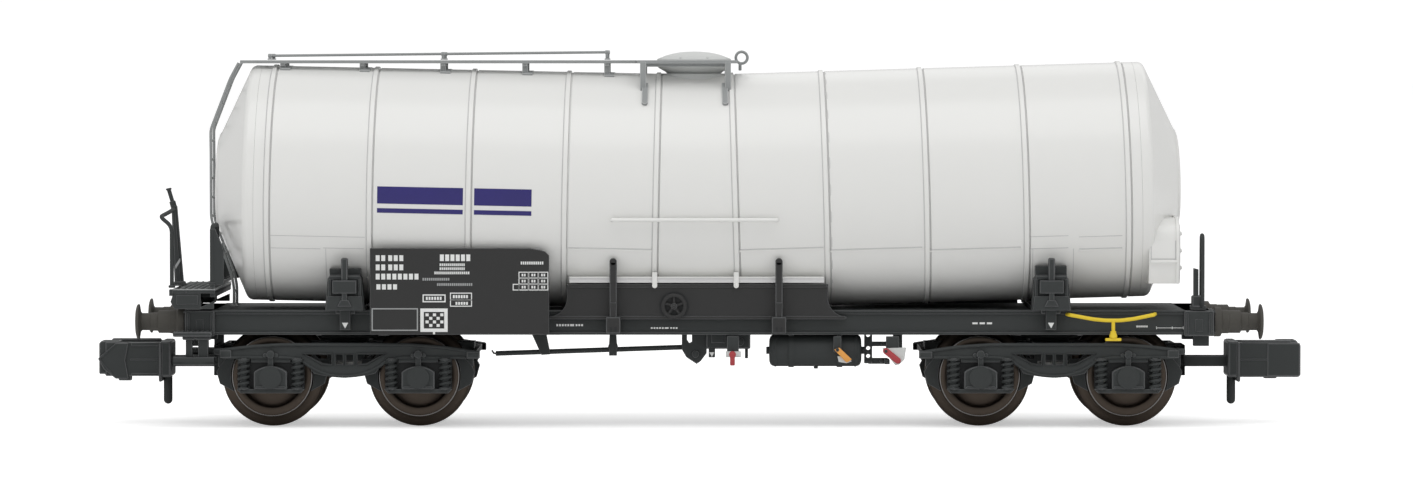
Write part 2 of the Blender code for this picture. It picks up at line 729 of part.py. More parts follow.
def side_frame_outlines():
    """Side frame as (x, z) from its pivot, inboard at +x, with its four openings."""
    belly = [(3.4, 5.4), (2.6, 4.75), (1.7, 4.15), (0.9, 3.92), (0, 3.85)]
    belly += [(-x, z) for x, z in reversed(belly[:-1])]
    edge = [(-9.3, 5.45), (-9.3, 6.1), (-7.2, 6.4), (-4.5, 6.5), (4.5, 6.5), (7.6, 6.35)]
    edge += [(10.3, 6.0), (10.3, 5.45)]
    outlines = [edge + belly]
    for sign in (-1, 1):
        outlines.append([(sign * x, z) for x, z in ((0.2, 4.8), (0.7, 4.8), (0.7, 5.6), (0.2, 5.6))])
        outlines.append([(sign * x, z) for x, z in ((1.2, 5.6), (1.25, 4.85), (1.9, 4.95), (3.0, 5.6))])
    return outlines


def axlebox(x, side):
    """Axlebox with its keeper, springs and the boss on the frame above it."""
    crown = arc((x, 3.9), 1.35, 25, 155, 6)
    outline = [(x + 1.3, 2.95)] + crown + [(x - 1.3, 2.95)]
    pieces = [plate([outline], "Y", across(side, 6.45, AXLEBOX_FACE))]
    pieces.append(box((x - 2.6, x + 2.6), across(side, 6.55, 7.2), (2.75, 3.1)))
    pieces.append(box((x - 0.4, x + 0.4), across(side, 6.6, 7.25), (4.9, 5.6)))
    pieces.append(rod((x, side * 7.0, 5.8), (x, side * 7.4, 5.8), 0.42, 8))
    for offset in (-2.05, 2.05):
        pieces.append(rod((x + offset, side * 7.02, 2.9), (x + offset, side * 7.02, 5.7), 0.48, 8))
    return pieces


def brake_shoe(x, out, side):
    """A shoe facing the tread of the wheel at x, on the side that out points to."""
    spread = (-22, 26) if out > 0 else (202, 154)
    tread = arc((x, AXLE_Z), TREAD_RADIUS + 0.22, *spread, 4)
    back = arc((x, AXLE_Z), TREAD_RADIUS + 0.75, *reversed(spread), 4)
    return plate([tread + back], "Y", across(side, 4.5, 5.4))


def coupler_pocket():
    """The box at the outboard end that holds the coupler's tail and spring."""
    shell = box((-10.35, -6.75), (-1.9, 1.9), (3.75, 6.1))
    room = box((-9.95, -7.15), (-1.5, 1.5), (4.05, 5.65))
    mouth = box((-10.6, -9.8), (-1.05, 1.05), (4.1, 5.55))
    window = box((-9.5, -7.5), (-0.9, 0.9), (3.5, 4.3))
    return cut(shell, [room, mouth, window])


def bogie_frame_mesh():
    """One bogie moulding about its pivot: side frames, bolster, end beams, pocket."""
    pieces = [box((-1.45, 1.45), (-6.6, 6.6), (5.0, BOLSTER_TOP))]
    pieces.append(box((-6.95, 9.7), (-1.6, 1.6), (5.3, 6.3)))
    pieces.append(box((-10.0, -9.6), (-6.6, 6.6), (5.7, 6.0)))
    pieces.append(box((9.5, 10.0), (-6.6, 6.6), (5.55, 6.0)))
    for side in SIDES.values():
        pieces.append(plate(side_frame_outlines(), "Y", across(side, *SIDE_FRAME)))
        pieces.append(box((-9.9, -9.0), across(side, 6.2, 6.9), (5.6, 6.05)))
        for x in (-AXLE_OFFSET, AXLE_OFFSET):
            pieces += axlebox(x, side)
            outward = math.copysign(1, x)
            pieces.append(brake_shoe(x, outward, side))
            pieces.append(box((outward * 9.1, outward * 9.75), across(side, 4.55, 5.35), (4.6, 5.85)))
            pieces.append(brake_shoe(x, -outward, side))
            pieces.append(box((outward * 1.2, outward * 2.1), across(side, 4.55, 5.35), (4.3, 5.2)))
    pieces.append(coupler_pocket())
    body = join(pieces)
    cutters = [rod((0, 0, 4.0), (0, 0, 7.0), 0.62, 12)]
    cutters.append(rod((0, 0, 3.8), (0, 0, 5.3), 1.3, 16))
    for side in SIDES.values():
        for x in (-AXLE_OFFSET, AXLE_OFFSET):
            start = (x, side * 6.3, AXLE_Z)
            cutters.append(rod(start, (x, side * 7.15, AXLE_Z), 0.95, 12, 0.15))
    return finished_mesh("bogie_frame", cut(body, cutters), "anthracite")


def wheel_mesh():
    """A wheel about its centre with its outer face at +Z before it is turned."""
    flat = 1 / math.cos(math.pi / WHEEL_SIDES)
    flange = FLANGE_RADIUS * flat
    profile = [
        (0.68, 1.9), (1.0, 1.9), (1.15, 1.5), (2.2, 1.3), (2.45, 1.75), (TREAD_RADIUS, 1.75),
        (TREAD_RADIUS + 0.1, 0.75), (flange - 0.35, 0.58), (flange, 0.36), (flange, 0.22),
        (flange - 0.4, 0), (0.68, 0),
    ]
    half_step = Matrix.Rotation(math.pi / WHEEL_SIDES, 4, "Z")
    upright = Matrix.Rotation(math.pi / 2, 4, "X")
    piece = turned(profile, WHEEL_SIDES, upright @ half_step, closed=True)
    return finished_mesh("wheel", piece, "wheel_bronze")


def axle_mesh():
    """A pin-point axle along Y about its centre."""
    point = 6.9
    half = [(0, point), (0.08, point), (0.5, 6.4), (0.5, 6.0), (AXLE_RADIUS, 5.9)]
    profile = half + [(radius, -height) for radius, height in reversed(half)]
    piece = turned(profile, 12, Matrix.Rotation(math.pi / 2, 4, "X"))
    return finished_mesh("axle", piece, "steel")


def coupler_mesh():
    """A hook coupler about its lift axis, pointing to -X."""
    shaft = box((-4.4, 0.12), (-0.7, 0.7), (-0.42, 0.42), bevel=0.06)
    tail = box((-0.15, 0.2), (-1.32, 1.32), (-0.5, 0.5))
    back = box((-4.9, -4.02), (-2.0, 2.0), (-1.2, 1.65), bevel=0.12)
    pieces = [shaft, tail, back]
    for side in SIDES.values():
        pieces.append(box((-9.1, -4.6), across(side, 1.5, 1.95), (-1.1, 1.55)))
    nose = [(-9.6, -0.95), (-8.0, -0.95), (-8.0, 1.6), (-9.45, 1.6), (-9.6, 1.4)]
    pieces.append(plate([nose], "Y", (-1.85, 0.3)))
    barb = [(-9.67, 0.25), (-8.3, 1.45), (-7.3, 1.45), (-7.3, -1.3), (-8.3, -1.3), (-9.2, -0.6)]
    for side in SIDES.values():
        pieces.append(plate([barb], "Y", across(side, 1.6, 2.12)))
    pieces.append(rod((-4.45, 0, -3.35), (-4.45, 0, -0.9), 0.34, 10))
    pieces.append(rod((-9.3, 1.6, -0.5), (-9.3, 1.6, 0.9), 0.3, 8))
    return finished_mesh("coupler", join(pieces), "anthracite")


def spring_mesh():
    """The coupler's coil spring, behind the tail, about the coupler's swing axis."""
    turns = 4
    steps = 9
    start = 0.42
    length = 1.8
    path = []
    for i in range(turns * steps + 1):
        angle = 2 * math.pi * i / steps
        x = start + length * i / (turns * steps)
        path.append((x, 0.52 * math.cos(angle), 0.52 * math.sin(angle)))
    return finished_mesh("coupler_spring", wire(path, 0.1), "steel")


def add_bogies():
    frame = bogie_frame_mesh()
    wheel = wheel_mesh()
    axle = axle_mesh()
    coupler = coupler_mesh()
    spring = spring_mesh()
    for end, sign in ENDS.items():
        facing = 0.0 if sign < 0 else math.pi
        pivot = pivot_empty("bogie_pivot_" + end, (sign * PIVOT_X, 0, 0))
        place_part("bogie_frame_" + end, frame, pivot, turn=facing)
        for place, offset in (("outer", AXLE_OFFSET), ("inner", -AXLE_OFFSET)):
            name = f"{end}_{place}"
            spin = pivot_empty("wheelset_" + name, (sign * offset, 0, AXLE_Z), pivot)
            place_part("axle_" + name, axle, spin)
            for side, where in SIDES.items():
                turn = 0.0 if where < 0 else math.pi
                place_part(f"wheel_{name}_{side}", wheel, spin, (0, where * WHEEL_BACK, 0), turn)
        swing = pivot_empty("coupler_swing_" + end, (sign * COUPLER_PIVOT, 0, COUPLER_Z), pivot)
        place_part("coupler_spring_" + end, spring, swing, turn=facing)
        place_part("coupler_" + end, coupler, swing, turn=facing)


def main():
    clear_scene()
    new_collection("tank_wagon")
    workshop = new_collection("workshop")
    add_underframe()
    add_pivot_screws()
    add_buffers()
    add_brake_platform()
    add_end_railing()
    add_brake_column()
    add_steps()
    add_corner_rail()
    add_barrel()
    add_tank_ends()
    add_ballast()
    add_manhole()
    add_walkway()
    add_walkway_handrail()
    add_manhole_platform()
    add_ladder()
    add_end_hood()
    add_side_rails()
    add_saddles()
    add_side_plates()
    add_signboards()
    add_yellow_brackets()
    add_reservoir()
    add_brake_rigging()
    add_lever_bracket()
    add_levers()
    add_bogies()
    bpy.data.collections.remove(workshop)


main()
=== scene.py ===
"""A 1:160 scale model of a bogie tank wagon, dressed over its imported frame.

Pieces are drawn in millimetres, in the frame's own axes: the wagon lies along X with its
brake platform at -X, -Y is its near side and the wheels stand on Z = 0.
"""

import json
import math

import bmesh
import bpy
from mathutils import Matrix, Vector
from mathutils.geometry import tessellate_polygon

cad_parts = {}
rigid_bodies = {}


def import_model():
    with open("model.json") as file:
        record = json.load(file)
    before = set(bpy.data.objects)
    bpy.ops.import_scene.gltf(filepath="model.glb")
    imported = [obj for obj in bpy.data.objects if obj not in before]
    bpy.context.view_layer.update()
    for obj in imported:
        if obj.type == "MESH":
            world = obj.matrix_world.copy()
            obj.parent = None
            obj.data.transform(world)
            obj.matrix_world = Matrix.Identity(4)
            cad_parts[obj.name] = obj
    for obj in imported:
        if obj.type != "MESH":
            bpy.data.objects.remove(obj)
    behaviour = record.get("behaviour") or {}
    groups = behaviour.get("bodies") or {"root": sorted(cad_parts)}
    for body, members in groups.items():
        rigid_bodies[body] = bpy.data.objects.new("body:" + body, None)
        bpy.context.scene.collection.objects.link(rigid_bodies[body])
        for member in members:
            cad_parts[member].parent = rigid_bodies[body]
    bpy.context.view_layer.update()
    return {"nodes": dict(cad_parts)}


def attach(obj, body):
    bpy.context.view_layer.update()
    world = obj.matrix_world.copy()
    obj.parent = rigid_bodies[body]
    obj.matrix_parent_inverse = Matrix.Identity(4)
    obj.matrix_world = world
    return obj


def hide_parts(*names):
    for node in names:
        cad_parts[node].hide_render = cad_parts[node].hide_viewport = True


for startup in list(bpy.data.objects):
    bpy.data.objects.remove(startup, do_unlink=True)
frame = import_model()

bl_info = {
    "name": "Model Tank Wagon",
    "version": (1, 0, 0),
    "blender": (4, 5, 0),
    "location": "3D View > Sidebar > Wagon",
    "description": "Dresses the frame of a small-scale bogie tank wagon",
    "category": "Object",
}

MM = 0.001
GAP = 0.06
CORNER = math.radians(50)
SOFT_EDGE = math.radians(38)
SIDES = {"near": -1, "far": 1}
ENDS = {"left": -1, "right": 1}

# Running gear
PIVOT_X = 27.03
AXLE_OFFSET = 5.62
AXLE_Z = 3.88
FLANGE_RADIUS = 3.88
TREAD_RADIUS = 3.05
WHEEL_Y = 3.7
COUPLER_PIVOT = 9.6
COUPLER_Z = 4.8

# Underframe
HALF_LENGTH = 39.2
DECK_TOP = 8.95
SOLEBAR_FACE = 6.62
BUFFER_Y = 5.47
BUFFER_Z = 8.05
PLATFORM_TOP = 10.65

# Tank: two halves whose axes fall towards the middle
TANK_RADIUS = 9.05
JACKET_SIDES = 160
TANK_MIDDLE = Vector((0.5, 0, 17.84))
TANK_LEFT = Vector((-33.75, 0, 18.55))
TANK_RIGHT = Vector((33.5, 0, 18.82))
RING_BANDS = (-32.8, -25.0, -17.5, -10.2, -3.3, 2.7, 9.6, 17.2, 24.75, 32.5)
SEAMS = ((-9.9, -3.5), (2.9, 9.3), (9.8, 16.8), (17.3, 24.3), (28.7, 32.0))
MANHOLE_X = -0.42
WALKWAY_Z = (27.78, 27.98)
SADDLE_X = 26.75


# --- Finishes -----------------------------------------------------------------------


def linked(tree, kind, inputs, **settings):
    """A new node with its settings, and with each input given a value or linked to a socket."""
    node = tree.nodes.new(kind)
    for name, value in settings.items():
        setattr(node, name, value)
    for name, value in inputs.items():
        if isinstance(value, bpy.types.NodeSocket):
            tree.links.new(value, node.inputs[name])
        else:
            node.inputs[name].default_value = value
    return node


def spread(tree, value, low, high):
    """The noise value stretched to run from low to high."""
    return linked(
        tree,
        "ShaderNodeMapRange",
        {"Value": value, "From Min": 0.3, "From Max": 0.7, "To Min": low, "To Max": high},
    ).outputs["Result"]


def add_finish(
    name, colour, roughness, metallic=0.0, clouds=0.08, grain=0.006, grain_size=0.12, streaks=0.0
):
    """A finish with drifting shade and gloss, and a fine grain that is grain_size across."""
    made = bpy.data.materials.new(name)
    made.use_nodes = True
    made.diffuse_color = (*colour, 1)
    tree = made.node_tree
    shader = tree.nodes["Principled BSDF"]
    place = tree.nodes.new("ShaderNodeTexCoord").outputs["Object"]
    drift = linked(tree, "ShaderNodeTexNoise", {"Vector": place, "Scale": 230.0, "Detail": 4.0})
    fine_scale = 1 / (grain_size * MM)
    fine = linked(tree, "ShaderNodeTexNoise", {"Vector": place, "Scale": fine_scale, "Detail": 2.0})
    shade = spread(tree, drift.outputs["Fac"], 1 - clouds, 1 + clouds)
    speck = spread(tree, fine.outputs["Fac"], 1 - clouds / 2, 1 + clouds / 2)
    tint = linked(tree, "ShaderNodeMath", {0: shade, 1: speck}, operation="MULTIPLY").outputs[0]
    if streaks:
        stretched = linked(
            tree, "ShaderNodeMapping", {"Vector": place, "Scale": (900.0, 900.0, 60.0)}
        )
        runs = linked(
            tree, "ShaderNodeTexNoise", {"Vector": stretched.outputs["Vector"], "Scale": 1.0}
        )
        faded = spread(tree, runs.outputs["Fac"], 1 - streaks, 1.0)
        tint = linked(tree, "ShaderNodeMath", {0: tint, 1: faded}, operation="MULTIPLY").outputs[0]
    toned = linked(
        tree, "ShaderNodeVectorMath", {0: colour, "Scale": tint}, operation="SCALE"
    ).outputs["Vector"]
    tree.links.new(toned, shader.inputs["Base Color"])
    gloss = spread(tree, drift.outputs["Fac"], roughness - 0.06, roughness + 0.08)
    tree.links.new(gloss, shader.inputs["Roughness"])
    shader.inputs["Metallic"].default_value = metallic
    bump = linked(
        tree,
        "ShaderNodeBump",
        {"Height": fine.outputs["Fac"], "Strength": 0.6, "Distance": grain * MM},
    )
    tree.links.new(bump.outputs["Normal"], shader.inputs["Normal"])
    return made


# Which finish the rounded corners of another take: a lighter copy, for wear and a painted highlight
# on the edges
WORN_AND_HIGHLIT = {
    "anthracite": "anthracite_worn_highlit",
    "plate_black": "anthracite_worn_highlit",
    "mid_grey": "mid_grey_worn_highlit",
    "wheel_bronze": "wheel_rim",
    "buffer_brown": "buffer_worn_highlit",
}


def lighter(colour, share):
    """The colour moved towards white by a share."""
    return tuple(part + (1 - part) * share for part in colour)


def make_finishes(colours):
    tank = tuple(colours.tank)
    add_finish("tank_white", tank, 0.38, clouds=0.012, grain=0.003, grain_size=0.2, streaks=0.02)
    # A darker copy of the tank white: thin lines of painted shade along edges and grooves
    add_finish("tank_shade_line", tuple(0.68 * part for part in tank), 0.5, clouds=0.05)
    # A darker copy of the tank white: painted shade for the ledge under each side
    add_finish("tank_painted_shade", tuple(0.84 * part for part in tank), 0.45, clouds=0.03)
    dark = tuple(colours.moulding)
    add_finish("anthracite", dark, 0.47, clouds=0.16, grain=0.012)
    # Lighter copy for the rounded corners: wear and a painted highlight
    add_finish("anthracite_worn_highlit", lighter(dark, 0.05), 0.42, clouds=0.2, grain=0.012)
    # A darker copy of the moulding: painted shade for slots, gaps and the hollows behind parts
    add_finish("anthracite_painted_shade", tuple(0.45 * part for part in dark), 0.6, clouds=0.1)
    add_finish("plate_black", tuple(colours.plate), 0.42, clouds=0.1, grain=0.005)
    grey = tuple(colours.walkway)
    add_finish("mid_grey", grey, 0.5, clouds=0.08, grain=0.01)
    # Lighter copy for the rounded corners: wear and a painted highlight
    add_finish("mid_grey_worn_highlit", lighter(grey, 0.12), 0.45, clouds=0.08, grain=0.01)
    add_finish("light_grey", tuple(colours.manhole), 0.42, clouds=0.03, grain=0.005)
    add_finish("wheel_bronze", tuple(colours.wheel), 0.36, 0.75, clouds=0.16, grain=0.008)
    add_finish("wheel_rim", lighter(colours.wheel, 0.2), 0.3, 0.85, clouds=0.14, grain=0.006)
    brown = tuple(colours.buffer)
    add_finish("buffer_brown", brown, 0.42, 0.3, clouds=0.15, grain=0.01)
    # Lighter copy for the rounded corners: wear and a painted highlight
    add_finish("buffer_worn_highlit", lighter(brown, 0.08), 0.36, 0.4, clouds=0.15, grain=0.01)
    add_finish("steel", tuple(colours.steel), 0.32, 0.9, clouds=0.1, grain=0.004)
    add_finish("yellow", tuple(colours.rope_bracket), 0.42, clouds=0.05, grain=0.006)
    add_finish("orange", tuple(colours.orange_lever), 0.42, clouds=0.05, grain=0.006)
    add_finish("red", tuple(colours.red_lever), 0.42, clouds=0.06, grain=0.006)
    add_finish("print_white", (0.78, 0.79, 0.78), 0.5, clouds=0.05, grain=0.002)
    add_finish("print_grey", (0.34, 0.35, 0.35), 0.5, clouds=0.06, grain=0.002)
    add_finish("print_blue", tuple(colours.stripe), 0.4, clouds=0.08, grain=0.003)


# --- Shapes, in millimetres ---------------------------------------------------------


def across(side, low, high):
    """A span of Y that is low to high from the centreline, on one side."""
    return (side * low, side * high)


def arc(centre, radius, start, end, steps):
    """Points on an arc between two angles in degrees."""
    found = []
    for i in range(steps + 1):
        angle = math.radians(start + (end - start) * i / steps)
        found.append((centre[0] + radius * math.cos(angle), centre[1] + radius * math.sin(angle)))
    return found


def rounded(points, radius, steps=5):
    """The path with each inner corner replaced by a curve of about this radius."""
    points = [Vector(point) for point in points]
    path = [points[0]]
    for before, corner, after in zip(points, points[1:], points[2:]):
        start = corner + (before - corner).normalized() * radius
        end = corner + (after - corner).normalized() * radius
        for i in range(steps + 1):
            t = i / steps
            path.append((1 - t) ** 2 * start + 2 * t * (1 - t) * corner + t * t * end)
    return path + [points[-1]]


def ring_of(radius, height, sides):
    turns = [2 * math.pi * i / sides for i in range(sides)]
    return [Vector((radius * math.cos(a), radius * math.sin(a), height)) for a in turns]


# How the plane of an outline stands for each direction that it is pushed out along
OUTLINE_PLANES = {
    "X": Matrix(((0, 0, 1), (1, 0, 0), (0, 1, 0))).to_4x4(),
    "Y": Matrix(((1, 0, 0), (0, 0, 1), (0, 1, 0))).to_4x4(),
    "Z": Matrix.Identity(4),
}


class Shape:
    """Closed shapes, each in the finish in hand, gathered into one piece."""

    def __init__(self, finish):
        self.rounding = bpy.context.scene.wagon_sizes.rounding / MM
        self.points = []
        self.faces = []
        self.slots = []
        self.finishes = []
        self.finish = finish

    def slot_of(self, finish):
        if finish not in self.finishes:
            self.finishes.append(finish)
        return self.finishes.index(finish)

    def keep(self, bm, rounding=None, segments=2):
        """Takes in a closed shape, with its sharp corners rounded and painted lighter, for wear and
        a painted highlight.
        """
        bmesh.ops.recalc_face_normals(bm, faces=bm.faces)
        rounding = self.rounding if rounding is None else rounding
        if rounding > 0:
            sharp = [e for e in bm.edges if e.is_manifold and e.calc_face_angle() > CORNER]
            bmesh.ops.bevel(
                bm, geom=sharp, offset=rounding, segments=segments, profile=0.5,
                affect="EDGES", clamp_overlap=True, material=1,
            )
        slots = [self.slot_of(self.finish), self.slot_of(WORN_AND_HIGHLIT.get(self.finish, self.finish))]
        first = len(self.points)
        bm.verts.index_update()
        self.points += [vertex.co.copy() for vertex in bm.verts]
        for face in bm.faces:
            self.faces.append([first + vertex.index for vertex in face.verts])
            self.slots.append(slots[face.material_index])
        bm.free()

    def loft(self, rings, capped=(True, True), looped=False, rounding=0.0):
        """A skin over rings of points, which have the same number of points each."""
        bm = bmesh.new()
        rows = [[bm.verts.new(point) for point in ring] for ring in rings]
        pairs = list(zip(rows, rows[1:]))
        if looped:
            pairs.append((rows[-1], rows[0]))
        count = len(rows[0])
        for low, high in pairs:
            for i in range(count):
                j = (i + 1) % count
                bm.faces.new((low[i], low[j], high[j], high[i]))
        if capped[0] and not looped:
            bm.faces.new(list(reversed(rows[0])))
        if capped[1] and not looped:
            bm.faces.new(rows[-1])
        bmesh.ops.remove_doubles(bm, verts=bm.verts, dist=1e-5)
        self.keep(bm, rounding)

    def box(self, x, y, z, rounding=None, segments=2):
        """A box between pairs of coordinates."""
        low = Vector((min(x), min(y), min(z)))
        high = Vector((max(x), max(y), max(z)))
        bm = bmesh.new()
        bmesh.ops.create_cube(bm, size=1.0)
        bmesh.ops.scale(bm, verts=bm.verts, vec=high - low)
        bmesh.ops.translate(bm, verts=bm.verts, vec=(low + high) / 2)
        self.keep(bm, rounding, segments)

    def turned(self, profile, place=Matrix.Identity(4), sides=48, looped=False):
        """A profile of (radius, height) turned round its height."""
        rings = [[place @ p for p in ring_of(radius, height, sides)] for radius, height in profile]
        capped = (profile[0][0] > 0, profile[-1][0] > 0)
        self.loft(rings, capped, looped)

    def rod(self, start, end, radius, sides=16, tip_radius=None, rounding=None):
        """A round bar, or a taper with another tip_radius, from start to end."""
        start = Vector(start)
        end = Vector(end)
        turn = (end - start).to_track_quat("Z", "Y").to_matrix().to_4x4()
        place = Matrix.Translation(start) @ turn
        length = (end - start).length
        tip_radius = radius if tip_radius is None else tip_radius
        ends = ((radius, 0), (tip_radius, length))
        rings = [[place @ p for p in ring_of(r, h, sides)] for r, h in ends]
        if rounding is None:
            rounding = min(self.rounding, radius / 3)
        self.loft(rings, rounding=rounding)

    def plate(self, outlines, axis, span, rounding=None):
        """Closed outlines, the first with the others as its holes, pushed out along an axis.

        Outlines are (x, z) pairs along Y, (y, z) pairs along X and (x, y) pairs along Z.
        """
        flat = [[Vector((a, b, 0)) for a, b in outline] for outline in outlines]
        points = [point for outline in flat for point in outline]
        place = OUTLINE_PLANES[axis]
        bm = bmesh.new()
        layers = []
        for depth in (min(span), max(span)):
            layers.append([bm.verts.new(place @ Vector((p.x, p.y, depth))) for p in points])
        caps = []
        for corners in tessellate_polygon(flat):
            for layer in layers:
                caps.append(bm.faces.new([layer[i] for i in corners]))
        first = 0
        for outline in flat:
            count = len(outline)
            for i in range(count):
                a = first + i
                b = first + (i + 1) % count
                bm.faces.new((layers[0][a], layers[0][b], layers[1][b], layers[1][a]))
            first += count
        bmesh.ops.recalc_face_normals(bm, faces=bm.faces)
        inner = [edge for edge in bm.edges if edge.is_manifold and edge.calc_face_angle() < 0.01]
        bmesh.ops.dissolve_limit(bm, angle_limit=0.01, verts=[], edges=inner)
        self.keep(bm, rounding)

    def wire(self, points, radius, sides=10, looped=False):
        """A round wire along points."""
        points = [Vector(point) for point in points]
        count = len(points)
        rings = []
        side = None
        for i, point in enumerate(points):
            before = points[i - 1] if i > 0 or looped else point
            after = points[(i + 1) % count] if i < count - 1 or looped else point
            ahead = (after - before).normalized()
            if side is None:
                side = ahead.orthogonal().normalized()
            side = (side - ahead * side.dot(ahead)).normalized()
            other = ahead.cross(side)
            ring = []
            for j in range(sides):
                angle = 2 * math.pi * j / sides
                offset = (side * math.cos(angle) + other * math.sin(angle)) * radius
                ring.append(point + offset)
            rings.append(ring)
        self.loft(rings, looped=looped)

    def bolt(self, place, out, radius=0.16, height=0.12):
        """A hexagon head standing on place, facing out."""
        place = Vector(place)
        out = Vector(out)
        self.rod(place - out * 0.05, place + out * height, radius, sides=6, rounding=0.02)

    def finished(self, node, body, slot, place=Matrix.Identity(4)):
        """The piece in metres, riding on its body and standing for its node."""
        name = node + "_dressed"
        mesh = bpy.data.meshes.new(name)
        mesh.from_pydata([place @ point * MM for point in self.points], [], self.faces)
        mesh.polygons.foreach_set("material_index", self.slots)
        for finish in self.finishes:
            mesh.materials.append(bpy.data.materials[finish])
        mesh.shade_smooth()
        mesh.set_sharp_from_angle(angle=SOFT_EDGE)
        piece = bpy.data.objects.new(name, mesh)
        bpy.context.scene.collection.objects.link(piece)
        normals = piece.modifiers.new("Even shading", "WEIGHTED_NORMAL")
        normals.keep_sharp = True
        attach(piece, body)
        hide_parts(node)


def fixed(shape, node, slot):
    """A piece on the wagon's body that stands for one node."""
    shape.finished(node, "chassis", slot)


def half_turn(sign):
    """No turn for -1, and half a turn about Z for 1."""
    return Matrix.Rotation(0.0 if sign < 0 else math.pi, 4, "Z")


def on_both_sides(shape, name, slot):
    """The near piece, and a copy turned half round for the far side."""
    for side, sign in SIDES.items():
        shape.finished(f"{name}_{side}", "chassis", slot, half_turn(sign))


def open_spans(low, high, hole):
    """What is left of low to high outside a hole from -hole to hole."""
    if hole <= 0:
        return [(low, high)]
    return [(low, -hole), (hole, high)]


def add_grating(shape, x_span, y_span, z_span, pitch, hole=None):
    """Bars along x crossed by lower bars along y, left open in a round hole (x, radius)."""
    bar = 0.06
    low_x, high_x = x_span
    low_y, high_y = y_span
    rows = round((high_y - low_y) / pitch)
    columns = round((high_x - low_x) / pitch)
    for i in range(1, rows):
        y = low_y + (high_y - low_y) * i / rows
        reach = 0.0
        middle = 0.0
        if hole:
            middle = hole[0]
            reach = math.sqrt(max(0.0, hole[1] ** 2 - y * y))
        for low, high in open_spans(low_x - middle, high_x - middle, reach):
            shape.box((low + middle, high + middle), (y - bar, y + bar), z_span, 0.0)
    for i in range(1, columns):
        x = low_x + (high_x - low_x) * i / columns
        reach = 0.0
        if hole:
            reach = math.sqrt(max(0.0, hole[1] ** 2 - (x - hole[0]) ** 2))
        for low, high in open_spans(low_y, high_y, reach):
            shape.box((x - bar, x + bar), (low, high), (z_span[0] + 0.03, z_span[1] - 0.03), 0.0)
    for x in x_span:
        shape.box((x - 0.09, x + 0.09), y_span, (z_span[0] - 0.02, z_span[1] + 0.02), 0.02)
    for y in y_span:
        shape.box(x_span, (y - 0.09, y + 0.09), (z_span[0] - 0.02, z_span[1] + 0.02), 0.02)


# --- Tank ---------------------------------------------------------------------------


def tank_frame(x):
    """Where the tank's axis is at x, and its upward direction there."""
    if abs(x - TANK_MIDDLE.x) < 1e-6:
        return TANK_MIDDLE, Vector((0, 0, 1))
    end = TANK_LEFT if x < TANK_MIDDLE.x else TANK_RIGHT
    share = (x - TANK_MIDDLE.x) / (end.x - TANK_MIDDLE.x)
    out = (end - TANK_MIDDLE).normalized()
    up = Vector((-out.z, 0, out.x)) * math.copysign(1, out.x)
    return TANK_MIDDLE.lerp(end, share), up


def on_tank(x, angle, side, lift=0.0):
    """The point on the jacket at an angle above its middle line, in radians."""
    centre, up = tank_frame(x)
    reach = TANK_RADIUS + lift
    return centre + up * reach * math.sin(angle) + Vector((0, side * reach * math.cos(angle), 0))


def tank_angle(x, z):
    """The angle at which the jacket is z high."""
    centre, _ = tank_frame(x)
    return math.asin(max(-1.0, min(1.0, (z - centre.z) / TANK_RADIUS)))


def add_patch(shape, x_span, angles, side, lift, steps=8, rounding=0.0):
    """A raised patch that follows the jacket between two angles."""
    turns = [angles[0] + (angles[1] - angles[0]) * i / steps for i in range(steps + 1)]
    rings = []
    for x in x_span:
        outer = [on_tank(x, turn, side, lift) for turn in turns]
        inner = [on_tank(x, turn, side, -0.12) for turn in reversed(turns)]
        rings.append(outer + inner)
    shape.loft(rings, rounding=rounding)


def add_seam(shape, x_span, z, side, wide=0.13, lift=0.05):
    """A thin raised joint that runs along the jacket."""
    angle = tank_angle(sum(x_span) / 2, z)
    half = wide / 2 / TANK_RADIUS / max(0.3, math.cos(angle))
    add_patch(shape, x_span, (angle - half, angle + half), side, lift, 2, 0.02)


def add_hoop(shape, x, z_span, side, wide=0.14, lift=0.05):
    """A thin raised joint that runs round the jacket between two heights."""
    angles = (tank_angle(x, z_span[0]), tank_angle(x, z_span[1]))
    add_patch(shape, (x - wide / 2, x + wide / 2), angles, side, lift, 10, 0.02)


def wrap_round(shape, stations):
    """A skin right round the tank, over stations that are an x and a height on the jacket."""
    turns = [2 * math.pi * i / JACKET_SIDES for i in range(JACKET_SIDES)]
    shape.loft([[on_tank(x, turn, -1, lift) for turn in turns] for x, lift in stations])


def add_round_line(shape, x, wide=0.05, lift=0.012):
    """A thin line right round the jacket."""
    low, high = x - wide / 2, x + wide / 2
    wrap_round(shape, ((low, -0.12), (low, lift), (high, lift), (high, -0.12)))


def add_painted_shade_lines(shape, band):
    """The shadowed edges of the bands and panels."""
    # These thin lines are painted shade along the bands, seams, hoops and saddle edges
    shape.finish = "tank_shade_line"
    for x in RING_BANDS:
        add_round_line(shape, x - band / 2 - 0.05)
        add_round_line(shape, x + band / 2 + 0.065, 0.05, -0.06)
    for side in SIDES.values():
        for x_span in (*SEAMS, (24.9, 27.9)):
            add_seam(shape, x_span, 13.72, side, 0.05, 0.03)
        for x_span in ((24.9, 27.9), (28.7, 32.0), (-32.5, -25.3)):
            add_seam(shape, x_span, 14.65, side, 0.05, 0.02)
        for x_span in ((-32.5, -28.7), (-28.5, -25.4)):
            add_seam(shape, x_span, 13.72, side, 0.05, 0.02)
        for sign in ENDS.values():
            for strip in (-1.55, 1.55):
                add_hoop(shape, sign * SADDLE_X + strip, (10.2, 13.7), side, 0.05, 0.02)
        for x in (-9.95, 9.95):
            add_hoop(shape, x, (11.0, 27.0), side, 0.05, 0.04)
    shape.finish = "tank_white"


